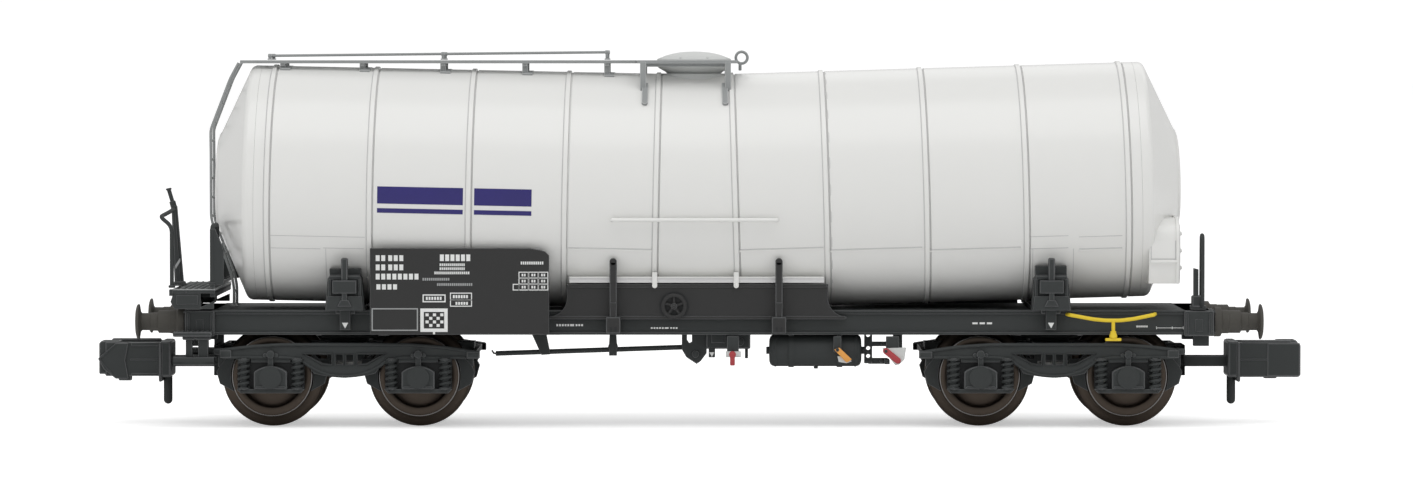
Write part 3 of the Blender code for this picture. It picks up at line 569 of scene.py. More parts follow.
def make_barrel(sizes):
    """The jacket with its ring bands, panel joints and blue bars, and the ledge under each side."""
    wide = sizes.band_width / MM
    tall = sizes.band_height / MM
    shape = Shape("tank_white")
    # The jacket closes most of the gap to each end, so that no dark line shows there.
    reach = 0.8 * GAP
    stations = [(TANK_LEFT.x - reach, 0.0), (TANK_MIDDLE.x, 0.0), (TANK_RIGHT.x + reach, 0.0)]
    for x in RING_BANDS:
        near = x - wide / 2
        far = x + wide / 2
        stations += [(near - 0.02, 0.0), (near + 0.03, tall), (far - 0.03, tall), (far, -0.03)]
        stations += [(far + 0.03, -0.09), (far + 0.1, -0.09), (far + 0.13, 0.0)]
    stations.sort()
    stations = [(stations[0][0], -0.9)] + stations + [(stations[-1][0], -0.9)]
    wrap_round(shape, stations)
    for side in SIDES.values():
        for x_span in SEAMS:
            add_seam(shape, x_span, 13.6, side)
        for x in (-9.95, 9.95):
            add_hoop(shape, x, (11.0, 27.0), side, 0.1, 0.03)
        # The ledge's face is painted darker than the tank for the shade that falls on it; its top
        # lip stays white
        shape.finish = "tank_painted_shade"
        shape.box((-9.9, 9.5), across(side, 5.0, 7.3), (11.08, 11.5), 0.04)
        shape.finish = "tank_white"
        shape.box((-9.9, 9.5), across(side, 5.0, 7.42), (11.46, 11.54), 0.02)
        for x in (-3.4, 2.8):
            shape.box((x - 0.2, x + 0.2), across(side, 7.0, 7.5), (10.85, 11.9), 0.06)
            shape.rod((x, side * 7.0, 10.87), (x, side * 7.52, 10.87), 0.2)
    add_painted_shade_lines(shape, wide)
    shape.finish = "print_blue"
    for low, high in ((17.05, 18.35), (16.35, 16.7)):
        angles = (tank_angle(-19, low), tank_angle(-19, high))
        for x_span in ((-24.4, -17.9), (-17.05, -12.7)):
            add_patch(shape, x_span, angles, -1, 0.015)
            add_patch(shape, (-x_span[1], -x_span[0]), angles, 1, 0.015)
    fixed(shape, "tank_barrel", "tank_white")


def make_tank_ends():
    """The coned ends, each with its rolled edge and the joint round its flat middle."""
    outline = [(0, 3.4), (3.3, 3.4), (3.42, 3.38), (3.5, 3.33), (3.6, 3.27), (3.66, 3.3)]
    outline += [(3.8, 3.24), (3.84, 3.17), (8.7, 0.98), (8.82, 0.91), (8.93, 0.82)]
    outline += [(9.0, 0.7), (9.05, 0.55)]
    outline += [(9.05, GAP), (8.2, GAP), (8.2, -1.0), (0, -1.0)]
    for end, place in (("left", TANK_LEFT), ("right", TANK_RIGHT)):
        out = (place - TANK_MIDDLE).normalized()
        stand = Matrix.Translation(place) @ out.to_track_quat("Z", "Y").to_matrix().to_4x4()
        shape = Shape("tank_white")
        shape.turned(outline, stand, 144)
        fixed(shape, "tank_end_" + end, "tank_white")


def make_manhole():
    """The flared neck and its domed cover."""
    shape = Shape("light_grey")
    bowl = [(0, 26.0), (2.05, 26.0), (2.05, 26.95), (2.2, 27.1), (2.45, 27.25), (2.72, 27.4)]
    bowl += [(2.82, 27.5), (2.85, 27.58), (2.85, 27.8), (2.8, 27.86), (0, 27.86)]
    stand = Matrix.Translation((MANHOLE_X, 0, 0))
    shape.turned(bowl, stand, 72)
    collar = [(2.0, 26.5), (2.55, 26.5), (2.55, 26.92), (2.5, 26.98), (2.0, 26.98)]
    shape.turned(collar, stand, 72, looped=True)
    fixed(shape, "manhole_neck", "light_grey")
    shape = Shape("light_grey")
    dome = [(0, 0.75), (0.5, 0.74), (1.1, 0.69), (1.7, 0.58), (2.2, 0.44), (2.45, 0.33)]
    dome += [(2.5, 0.27), (2.62, 0.27), (2.8, 0.2), (2.85, 0.12), (2.85, 0.02), (2.82, 0), (0, 0)]
    shape.turned(dome, Matrix.Translation((MANHOLE_X, 0, 27.86 + GAP)), 72)
    for i in range(8):
        angle = math.pi * (i + 0.5) / 4
        place = Vector((MANHOLE_X + 2.68 * math.cos(angle), 2.68 * math.sin(angle), 28.1))
        shape.bolt(place, (0, 0, 1), 0.11, 0.12)
    fixed(shape, "manhole_cover", "light_grey")


def make_walkway(sizes):
    """The grating along the tank with its posts, and the folded railing on it."""
    pitch = sizes.grating_pitch / MM
    shape = Shape("mid_grey")
    add_grating(shape, (-35.21, -4.94), (-2.2, 2.2), WALKWAY_Z, pitch)
    for x in (-32.0, -25.9, -19.7, -13.4, -7.1):
        shape.box((x - 0.15, x + 0.15), (-2.2, 2.2), (27.55, 27.8))
        for side in SIDES.values():
            shape.box((x - 0.22, x + 0.22), across(side, 1.75, 2.0), (26.6, 27.8))
            angle = math.acos(1.9 / TANK_RADIUS)
            half = 0.06
            add_patch(shape, (x - 0.4, x + 0.4), (angle - half, angle + half), side, 0.14, 4, 0.03)
    fixed(shape, "walkway", "mid_grey")
    shape = Shape("mid_grey")
    start = Vector((-33.0, 0, 28.35))
    end = Vector((-7.1, 0, 28.62))
    side_step = Vector((0, 1.95, 0))
    loop = [start - side_step, end - side_step, end + side_step, start + side_step]
    corners = rounded([(loop[0] + loop[1]) / 2, *loop[1:], loop[0], (loop[0] + loop[1]) / 2], 0.3)
    shape.wire(corners[:-1], 0.1, looped=True)
    for x in (-33.0, -19.7, -7.1):
        top = start.lerp(end, (x - start.x) / (end.x - start.x))
        for side in SIDES.values():
            foot = Vector((x, side * 1.95, WALKWAY_Z[1] + GAP))
            head = Vector((x, side * 1.95, top.z))
            shape.rod(foot, head, 0.12)
            shape.rod(foot, foot + Vector((0, 0, 0.1)), 0.2)
            shape.rod(head - Vector((0.16, 0, 0)), head + Vector((0.16, 0, 0)), 0.15)
    fixed(shape, "walkway_handrail", "mid_grey")


def make_manhole_platform(sizes):
    """The wide grating round the manhole with its side straps and grab hoop."""
    shape = Shape("mid_grey")
    span = (-4.7, 2.86)
    half = 4.6
    hole = (MANHOLE_X, 3.05)
    add_grating(shape, span, (-half, half), WALKWAY_Z, sizes.grating_pitch / MM, hole)
    rim = [(3.0, 27.76), (3.14, 27.76), (3.14, 28.0), (3.0, 28.0)]
    shape.turned(rim, Matrix.Translation((MANHOLE_X, 0, 0)), 72, looped=True)
    for side in SIDES.values():
        for x in (-4.31, 2.18):
            strap = (x - 0.23, x + 0.23)
            shape.box(strap, across(side, 4.35, 4.7), (25.4, 27.9))
            foot = (tank_angle(x, 24.7), tank_angle(x, 26.1))
            add_patch(shape, strap, foot, side, 0.22, 6, 0.05)
            toe = on_tank(x, foot[0], side)
            out = (toe - tank_frame(x)[0]).normalized()
            shape.rod(toe - out * 0.1, toe + out * 0.22, 0.23, 20)
        shape.box((-4.31, 2.18), across(side, 3.3, 3.45), (27.5, 27.8))
    hoop = [(x, 0, z) for x, z in arc((3.25, 28.2), 0.45, 0, 345, 23)]
    shape.wire(hoop, 0.11, looped=True)
    shape.rod((3.13, 0, 27.2), (3.13, 0, 27.85), 0.12)
    fixed(shape, "manhole_platform", "mid_grey")


def ladder_path():
    """One stile of the end ladder, as (x, z) from the walkway down to the deck."""
    return [
        (-35.45, 27.8), (-36.1, 26.6), (-37.62, 22.65), (-37.6, 20.7), (-37.6, 15.95),
        (-37.45, 15.3), (-36.5, 12.8), (-36.0, 11.3), (-35.85, 10.5), (-35.85, 9.05),
    ]


def make_ladder():
    """The bent stiles of the end ladder and its rungs."""
    half = 1.5
    path = ladder_path()
    shape = Shape("mid_grey")
    for side in SIDES.values():
        stile = rounded([(x, side * half, z) for x, z in path], 0.3)
        shape.wire(stile, 0.11, 12)
        shape.box((-36.1, -35.6), across(side, 1.35, 1.65), (9.05, 9.2))
    for i in range(12):
        z = 10.2 + 1.45 * i
        for (x0, z0), (x1, z1) in zip(path, path[1:]):
            if z1 <= z < z0:
                x = x0 + (x1 - x0) * (z0 - z) / (z0 - z1)
        shape.rod((x, -half, z), (x, half, z), 0.1, 12)
    fixed(shape, "end_ladder", "mid_grey")


def hood_outline(grow=0.0):
    """The hood as (y, z): its cheeks lean in to the foot and its shoulders are round."""
    half = 7.45 + grow
    radius = 1.7
    right = arc((half - radius, 14.3 + grow), radius, 0, 90, 10)
    left = [(-y, z) for y, z in reversed(right)]
    return [(-half + 0.6, 11.0), (half - 0.6, 11.0), (half, 12.8)] + right + left + [(-half, 12.8)]


def make_hood():
    """The valve hood low on the right-hand end, with its rim, ledge and screw heads."""
    shape = Shape("tank_white")
    shape.plate([hood_outline()], "X", (34.2, 36.5))
    shape.plate([hood_outline(0.1)], "X", (36.25, 36.5))
    shape.plate([hood_outline(-0.25)], "X", (36.4, 36.6))
    for side in SIDES.values():
        shape.box((34.3, 36.3), across(side, 6.6, 7.58), (12.6, 12.85), 0.05)
    for y in (-6.2, -4.4, 4.4, 6.2):
        for z in (12.2, 13.5, 14.8):
            shape.rod((36.4, y, z), (36.68, y, z), 0.24, 12)
            shape.bolt((36.66, y, z), (1, 0, 0), 0.16, 0.12)
    # Thin darker lines along the hood's edges and under its ledge: painted shade
    shape.finish = "tank_shade_line"
    for side in SIDES.values():
        for x in (34.35, 36.2):
            shape.box((x - 0.03, x + 0.03), across(side, 7.0, 7.47), (12.86, 14.3), 0.0)
        shape.box((34.35, 36.2), across(side, 7.0, 7.47), (12.87, 12.93), 0.0)
    fixed(shape, "end_hood", "tank_white")


def make_side_rails():
    """The grab rails along the middle of the tank's sides."""
    for side, where in SIDES.items():
        shape = Shape("tank_white")
        path = [(-6.6, where * 8.8, 15.91), (-6.6, where * 9.22, 15.91)]
        path += [(5.9, where * 9.22, 15.91), (5.9, where * 8.8, 15.91)]
        shape.wire(rounded(path, 0.15), 0.15, 12)
        for x in (-2.45, 1.75):
            shape.rod((x, where * 8.8, 15.91), (x, where * 9.22, 15.91), 0.1)
        fixed(shape, "side_rail_" + side, "tank_white")


# --- Underframe ---------------------------------------------------------------------


def add_solebar(shape, side):
    """A channel with its flanges out."""
    shape.box((-37.1, 37.0), across(side, 6.2, SOLEBAR_FACE), (7.1, 8.9))
    shape.box((-37.1, 37.0), across(side, 6.2, 6.8), (8.66, 8.9))
    shape.box((-37.1, 37.0), across(side, 6.2, 6.8), (7.1, 7.32))
    shape.box((-37.1, 37.0), across(side, 6.2, 6.9), (8.86, 8.98), 0.03)


def add_headstock(shape, end):
    """The end beam with its buffer pads, drawgear plate and rib."""
    inner = HALF_LENGTH - 2.3
    shape.box((end * inner, end * (HALF_LENGTH - 0.02)), (-7.0, 7.0), (7.0, DECK_TOP), 0.1)
    for side in SIDES.values():
        centre = side * BUFFER_Y
        shape.box(
            (end * (HALF_LENGTH - 0.3), end * (HALF_LENGTH + 0.03)),
            (centre - 1.2, centre + 1.2), (7.02, 9.02),
        )
        for y in (-0.98, 0.98):
            for z in (7.22, 8.82):
                shape.bolt((end * (HALF_LENGTH + 0.02), centre + y, z), (end, 0, 0), 0.12, 0.1)
        shape.box((end * 37.7, end * 38.9), across(side, 5.2, 5.9), (6.2, 7.2))
        shape.box((end * 37.75, end * 38.35), across(side, 6.85, 7.05), (7.35, 8.3))
        for x in (37.15, 38.9):
            shape.box((end * (x - 0.1), end * (x + 0.1)), across(side, 6.85, 7.08), (7.1, 8.75))
    shape.box((end * (HALF_LENGTH - 0.2), end * (HALF_LENGTH + 0.1)), (-1.9, 1.9), (7.1, 8.8))
    shape.rod((end * 39.1, 0, 7.95), (end * 39.6, 0, 7.95), 0.5, 20)
    for y in (-1.4, 1.4):
        for z in (7.5, 8.4):
            shape.bolt((end * (HALF_LENGTH + 0.1), y, z), (end, 0, 0))


def add_block_row(shape, start, y, z, sizes, tall, out=-1):
    """A row of small printed blocks, each a width and the space after it."""
    thick = bpy.context.scene.wagon_sizes.print_thickness / MM
    x = start
    for wide, space in sizes:
        shape.box((x, x + wide), (y, y + out * thick), (z, z + tall), 0.0)
        x += wide + space


def make_underframe():
    """Deck, solebars, headstocks, spine and cross members, with small printed marks."""
    shape = Shape("anthracite")
    shape.box((-HALF_LENGTH + 0.1, HALF_LENGTH - 0.1), (-6.5, 6.5), (8.45, DECK_TOP))
    shape.box((-24, 24), (-1.6, 1.6), (7.1, 8.6))
    for x in (-15.5, -8, 0, 8, 15.5):
        shape.box((x - 0.4, x + 0.4), (-6.4, 6.4), (7.35, 8.5))
        shape.box((x - 0.6, x + 0.6), (-6.3, 6.3), (7.3, 7.45))
    for side in SIDES.values():
        add_solebar(shape, side)
    for end in ENDS.values():
        add_headstock(shape, end)
        x = end * PIVOT_X
        shape.turned(
            [(0.6, 6.56), (2.1, 6.56), (2.2, 6.66), (2.2, 8.5), (0.6, 8.5)],
            Matrix.Translation((x, 0, 0)), 40, looped=True,
        )
        shape.box((x - 1.2, x + 1.2), (-6.2, 6.2), (7.15, 8.5))
        for start, stop in ((24, 25.6), (28.4, 36.9)):
            for y in (-2.4, 2.4):
                shape.box((end * start, end * stop), (y - 0.2, y + 0.2), (7.3, 8.5))
    shape.finish = "print_white"
    small = [(0.14, 0.07)] * 5 + [(0.3, 0.12)] + [(0.14, 0.07)] * 3
    for side in SIDES.values():
        y = side * SOLEBAR_FACE
        add_block_row(shape, -10.9 if side < 0 else 9.1, y, 7.75, small, 0.16, side)
        add_block_row(shape, -3.7 if side < 0 else 2.0, y, 7.55, small, 0.12, side)
        add_block_row(shape, 20.8 if side < 0 else -22.6, y, 7.9, [(0.4, 0.15)] * 3, 0.14, side)
        low = 34.8 if side < 0 else -36.9
        line = across(side, SOLEBAR_FACE - 0.02, SOLEBAR_FACE + 0.02)
        shape.box((low, low + 2.1), line, (7.6, 7.64), 0.0)
        for step in (0, 1.2, 2.05):
            shape.box((low + step, low + step + 0.05), line, (7.52, 7.72), 0.0)
        add_block_row(shape, low - 1.5, y, 7.66, [(0.1, 0.05)] * 6, 0.14, side)
    fixed(shape, "underframe", "anthracite")


def make_buffers():
    """Buffers with a stepped housing, collar, plunger and rounded head."""
    profile = [(0, 3.87), (0.6, 3.86), (1.0, 3.82), (1.25, 3.75), (1.34, 3.68), (1.35, 3.62)]
    profile += [(1.33, 3.56), (1.2, 3.54), (0.8, 3.46), (0.66, 3.36), (0.66, 2.72), (0.7, 2.68)]
    profile += [(0.7, 2.2), (0.74, 2.14), (0.84, 2.1), (0.87, 2.05), (0.87, 1.22), (0.9, 1.2)]
    profile += [(0.9, 0.72), (0.95, 0.66), (1.1, 0.6), (1.14, 0.52), (1.14, 0.1), (0, 0.1)]
    for end, sign in ENDS.items():
        for side, where in SIDES.items():
            shape = Shape("buffer_brown")
            centre = Vector((sign * HALF_LENGTH, where * BUFFER_Y, BUFFER_Z))
            out = Matrix.Rotation(sign * math.pi / 2, 4, "Y")
            shape.turned(profile, Matrix.Translation(centre) @ out, 56)
            fixed(shape, f"buffer_{end}_{side}", "buffer_brown")


def make_end_platform():
    """The platform on the left headstock with its serrated tread."""
    shape = Shape("anthracite")
    cheek = [(-39.9, 9.1), (-36.9, 9.1), (-36.9, 9.7), (-37.9, 9.25), (-37.9, 10.4)]
    cheek += [(-39.95, 10.4), (-40.2, 9.65)]
    shape.box((-40.05, -36.8), (-7.9, 7.9), (10.3, 10.55))
    for side in SIDES.values():
        shape.plate([cheek], "Y", across(side, 7.45, 7.85))
        shape.plate([[(-39.75, 9.45), (-38.1, 9.45), (-38.1, 10.15), (-39.75, 10.15)]],
                    "Y", across(side, 7.8, 7.9))
        shape.box((-39.1, -37.95), across(side, 6.1, 7.6), (DECK_TOP + GAP, 9.6))
        shape.rod((-39.0, side * 7.8, 10.42), (-39.0, side * 7.95, 10.42), 0.09, 10)
    shape.box((-40.0, -39.6), (-7.6, 7.6), (9.3, 10.45))
    shape.box((-37.2, -36.8), (-7.6, 7.6), (10.0, 10.45))
    shape.box((-40.3, -39.85), (-7.85, -7.3), (10.1, 10.6))
    for y in (-5.0, -2.5, 0, 2.5, 5.0):
        shape.box((-39.7, -37.1), (y - 0.1, y + 0.1), (9.9, 10.4))
    shape.finish = "mid_grey"
    count = 34
    for i in range(count):
        y = -7.6 + 15.2 * (i + 0.5) / count
        for j in range(6):
            x = -39.75 + 0.47 * j
            tooth = [(x, 10.5), (x + 0.26, 10.5), (x + 0.4, 10.68), (x + 0.3, 10.68)]
            shape.plate([tooth], "Y", (y - 0.05, y + 0.05), 0.0)
    for x in (-40.0, -36.9):
        shape.box((x, x + 0.1), (-7.8, 7.8), (10.5, 10.66), 0.02)
    for side in SIDES.values():
        shape.box((-40.0, -36.85), across(side, 7.72, 7.84), (10.5, 10.62), 0.02)
    fixed(shape, "end_platform", "anthracite")


def make_end_railing():
    """Bars between the platform and the tank, open in the middle for the ladder."""
    x = -37.0
    foot = PLATFORM_TOP + GAP
    shape = Shape("anthracite")
    shape.box((x - 0.2, x + 0.2), (-7.85, 7.85), (foot, foot + 0.3))
    for side in SIDES.values():
        hoop = [(x, side * 7.65, foot + 0.1), (x, side * 7.65, 15.4)]
        hoop += [(x, side * 3.4, 15.4), (x, side * 3.4, foot + 0.1)]
        shape.wire(rounded(hoop, 0.55), 0.18, 12)
        for y in (4.8, 6.2):
            shape.rod((x, side * y, foot + 0.1), (x, side * y, 15.4), 0.14)
        for y in (3.4, 4.8, 6.2, 7.65):
            shape.rod((x, side * y, foot + 0.25), (x, side * y, foot + 0.42), 0.26)
        shape.rod((x, side * 3.4, 13.1), (x, side * 7.65, 13.1), 0.12)
        gusset = [(x - 0.2, foot + 0.2), (x + 0.85, foot + 0.2), (x + 0.85, 13.6), (x + 0.2, 15.2)]
        shape.plate([gusset + [(x - 0.2, 15.2)]], "Y", across(side, 7.52, 7.78))
    fixed(shape, "end_railing", "anthracite")


def make_brake_column():
    """The leaning brake column with its crank, pale stripe and bent grab handle."""
    foot = PLATFORM_TOP + GAP
    shape = Shape("anthracite")
    face = [(-40.25, foot), (-39.55, foot), (-40.07, 16.85), (-40.5, 16.85)]
    shape.plate([face], "Y", (-3.4, -2.9))
    rib = [(-40.15, foot), (-39.75, foot), (-40.2, 16.6), (-40.42, 16.6)]
    shape.plate([rib], "Y", (-3.5, -2.8))
    shape.box((-40.35, -39.4), (-3.7, -2.6), (foot, foot + 0.16))
    shape.box((-40.3, -39.45), (-3.6, -2.7), (foot, foot + 0.35), 0.08)
    for x in (-40.22, -39.52):
        for y in (-3.58, -2.72):
            shape.bolt((x, y, foot + 0.15), (0, 0, 1), 0.1, 0.08)
    shape.rod((-40.28, -3.15, 16.6), (-40.45, -3.15, 17.2), 0.24)
    shape.rod((-40.35, -3.15, 16.9), (-40.73, -3.15, 18.15), 0.16)
    shape.rod((-40.7, -3.15, 18.05), (-40.73, -3.15, 18.2), 0.22)
    grab = [(-40.1, -7.6, foot), (-40.1, -7.6, 15.4), (-41.0, -7.4, 16.1)]
    grab += [(-40.5, -5.4, 16.4), (-40.3, -3.2, 16.6)]
    shape.wire(rounded(grab, 0.5), 0.16, 12)
    shape.rod((-40.1, -7.6, foot), (-40.1, -7.6, foot + 0.2), 0.26)
    shape.finish = "print_grey"
    shape.plate([[(-40.22, 12.25), (-40.16, 12.0), (-39.8, 12.6), (-39.83, 12.85)]],
                "Y", (-3.53, -3.45), 0.0)
    fixed(shape, "brake_column", "anthracite")


def make_steps():
    """Shunter's steps below the left headstock."""
    for side, where in SIDES.items():
        outer = across(where, 7.0 + GAP, 8.3)
        shape = Shape("anthracite")
        shape.box((-40.0, -37.0), outer, (7.0, 7.4), 0.12)
        shape.box((-40.05, -36.75), outer, (4.85, 5.2), 0.12)
        shape.box((-40.05, -36.75), across(where, 8.15, 8.3), (4.85, 5.45), 0.05)
        shape.box((-40.05, -36.75), across(where, 7.06, 7.2), (4.85, 5.45), 0.05)
        for x in (-40.05, -36.9):
            shape.box((x, x + 0.15), outer, (4.85, 5.45), 0.05)
        for i in range(8):
            x = -39.7 + 0.37 * i
            shape.box((x, x + 0.12), across(where, 7.15, 8.2), (5.15, 5.3), 0.02, 1)
            shape.box((x, x + 0.12), across(where, 7.25, 8.1), (7.35, 7.45), 0.02, 1)
        shape.box((-39.05, -38.55), across(where, 7.3, 7.8), (5.1, 7.1))
        shape.box((-38.1, -37.35), across(where, 7.3, 7.8), (5.1, 7.1))
        for x, wide in ((-38.8, 0.5), (-37.72, 0.6)):
            shape.box((x - wide, x + wide), across(where, 7.2, 7.9), (6.75, 7.05), 0.1)
            shape.box((x - wide, x + wide), across(where, 7.2, 7.9), (5.15, 5.4), 0.1)
        fixed(shape, "step_" + side, "anthracite")


def make_corner_rail():
    """The grab rail on the near right-hand corner of the deck."""
    foot = DECK_TOP + GAP
    shape = Shape("anthracite")
    shape.box((37.4, 38.6), (-6.9, -5.9), (foot, foot + 0.3))
    tall = [(38.25, -6.7, foot + 0.2), (38.25, -7.7, 9.6), (38.25, -7.7, 14.7)]
    tall += [(38.25, -6.5, 14.7), (38.25, -6.2, 9.3)]
    shape.wire(rounded(tall, 0.4), 0.15, 12)
    short = [(37.6, foot + 0.2), (38.0, foot + 0.2), (38.0, 12.1), (37.6, 12.2)]
    shape.plate([short], "Y", (-6.95, -6.7))
    shape.box((37.5, 38.4), (-7.0, -6.0), (foot + 0.2, 10.1), 0.12)
    for x, y in ((37.8, -6.62), (38.25, -6.2), (38.25, -6.72)):
        shape.rod((x, y, foot + 0.2), (x, y, foot + 0.42), 0.2)
    fixed(shape, "corner_rail_near", "anthracite")


# --- Tank supports and side plates --------------------------------------------------


def make_saddles():
    """The cradles that carry the tank over the bogies, each with its stakes."""
    for end, sign in ENDS.items():
        # The left cradle stands a little further out than the right one.
        x = sign * SADDLE_X - (0.2 if end == "left" else 0.0)
        foot = DECK_TOP + GAP
        shape = Shape("anthracite")
        for side in SIDES.values():
            cradle = [(x - 1.5, foot), (x + 1.5, foot), (x + 1.3, 11.4), (x + 1.1, 11.7)]
            cradle += [(x - 1.1, 11.7), (x - 1.3, 11.4)]
            shape.plate([cradle], "Y", across(side, 6.2, 7.85))
            lower = [(x - 1.42, foot), (x + 1.42, foot), (x + 1.3, 10.1), (x - 1.3, 10.1)]
            shape.plate([lower], "Y", across(side, 7.5, 8.2))
            shape.box((x - 0.92, x + 0.92), across(side, 7.6, 8.42), (10.3, 11.3), 0.07)
            shape.box((x - 0.2, x + 0.2), across(side, 7.6, 8.36), (9.75, 10.35), 0.06)
            boss = [(x - 0.55, 9.3), (x + 0.55, 9.3), (x + 0.3, 9.8), (x - 0.3, 9.8)]
            shape.plate([boss], "Y", across(side, 7.9, 8.32), 0.06)
            shape.box((x - 0.26, x + 0.26), across(side, 7.75, 8.28), (11.2, 13.0), 0.12)
            shape.box((x - 1.2, x + 1.2), across(side, 7.4, 7.95), (11.35, 11.62), 0.05)
            for rib in (-1.15, 1.15):
                shape.box((x + rib - 0.1, x + rib + 0.1), across(side, 7.6, 8.05), (9.2, 11.4))
            shape.box((x - 0.4, x + 0.4), across(side, 6.6, 7.45), (7.5, 9.3))
            shape.box((x - 0.75, x + 0.75), across(side, 6.7, 7.2), (8.7, 9.3), 0.08)
            shape.finish = "print_white"
            mark = [(x - 0.24, 8.05), (x + 0.24, 8.05), (x, 7.62)]
            shape.plate([mark], "Y", across(side, 7.4, 7.47), 0.0)
            shape.finish = "anthracite"
        shape.box((x - 1.45, x + 1.45), (-6.4, 6.4), (foot, 9.3))
        for turn in range(-5, 6):
            angle = math.radians(-90 + 9.5 * turn)
            place = on_tank(x, angle, 1, 0.2)
            top = max(9.2, place.z)
            shape.box((x - 1.2, x + 1.2), (place.y - 0.35, place.y + 0.35), (foot, top))
        fixed(shape, "saddle_" + end, "anthracite")


def make_side_plates():
    """The centre plates with their straps, foot blocks and spoked handwheel."""
    shape = Shape("plate_black")
    left = arc((-11.5, 9.9), 1.4, -90, 0, 12)
    right = arc((11.2, 9.9), 1.4, 180, 270, 12)
    outline = [(-11.5, 8.35)] + left + [(-10.1, 10.98), (9.8, 10.98)] + right + [(11.2, 8.35)]
    shape.plate([outline], "Y", (-7.15, -6.86))
    shape.box((-11.4, 11.1), (-7.2, -6.9), (8.3, 8.55), 0.04)
    shape.box((-10.0, 9.7), (-7.24, -6.9), (10.72, 10.98), 0.04)
    for x in (-6.55, 6.05):
        shape.box((x - 0.28, x + 0.28), (-7.92, -7.66), (8.2, 12.7), 0.08)
        shape.rod((x, -7.66, 12.7), (x, -7.92, 12.7), 0.28, 24)
        waist = [(x - 0.28, 9.6), (x + 0.28, 9.6), (x + 0.2, 8.3), (x - 0.2, 8.3)]
        shape.plate([waist], "Y", (-7.96, -7.5))
        shape.box((x - 0.55, x + 0.55), (-8.06, -6.9), (7.25, 8.5), 0.08)
        # Dark patches for the foot blocks' slots: painted shade in their hollows
        for slot in (-0.18, 0.18):
            shape.finish = "anthracite_painted_shade"
            shape.box((x + slot - 0.08, x + slot + 0.08), (-8.08, -8.0), (7.4, 7.75), 0.0)
            shape.finish = "plate_black"
    centre = Vector((-1.93, -7.35, 9.3))
    stand = Matrix.Translation(centre) @ Matrix.Rotation(math.pi / 2, 4, "X")
    shape.turned([(0.98, 0.12), (0.98, -0.1), (0.9, -0.16), (0.76, -0.16), (0.7, -0.1),
                  (0.7, 0.12), (0.78, 0.18), (0.9, 0.18)], stand, 56, looped=True)
    for i in range(5):
        angle = math.radians(90 + 72 * i)
        spoke = Vector((math.cos(angle), 0, math.sin(angle)))
        shape.rod(centre + spoke * 0.15, centre + spoke * 0.8, 0.14, 12, 0.1)
    shape.rod(centre + Vector((0, 0.35, 0)), centre - Vector((0, 0.2, 0)), 0.24, 20)
    shape.bolt(centre - Vector((0, 0.18, 0)), (0, -1, 0), 0.13, 0.08)
    # A dark disc a little wider than the handwheel: painted shade behind it
    shape.finish = "anthracite_painted_shade"
    shape.plate([arc((-1.93, 9.3), 1.15, 0, 350, 35)], "Y", (-7.17, -7.1), 0.0)
    on_both_sides(shape, "side_plate", "plate_black")


def add_outlined_box(shape, x_span, y, z_span, line=0.07):
    """A printed frame of four thin lines."""
    low_x, high_x = x_span
    low_z, high_z = z_span
    thick = bpy.context.scene.wagon_sizes.print_thickness / MM
    outer = [(low_x, low_z), (high_x, low_z), (high_x, high_z), (low_x, high_z)]
    inner = [(low_x + line, low_z + line), (high_x - line, low_z + line)]
    inner += [(high_x - line, high_z - line), (low_x + line, high_z - line)]
    shape.plate([outer, inner], "Y", (y - thick, y), 0.0)


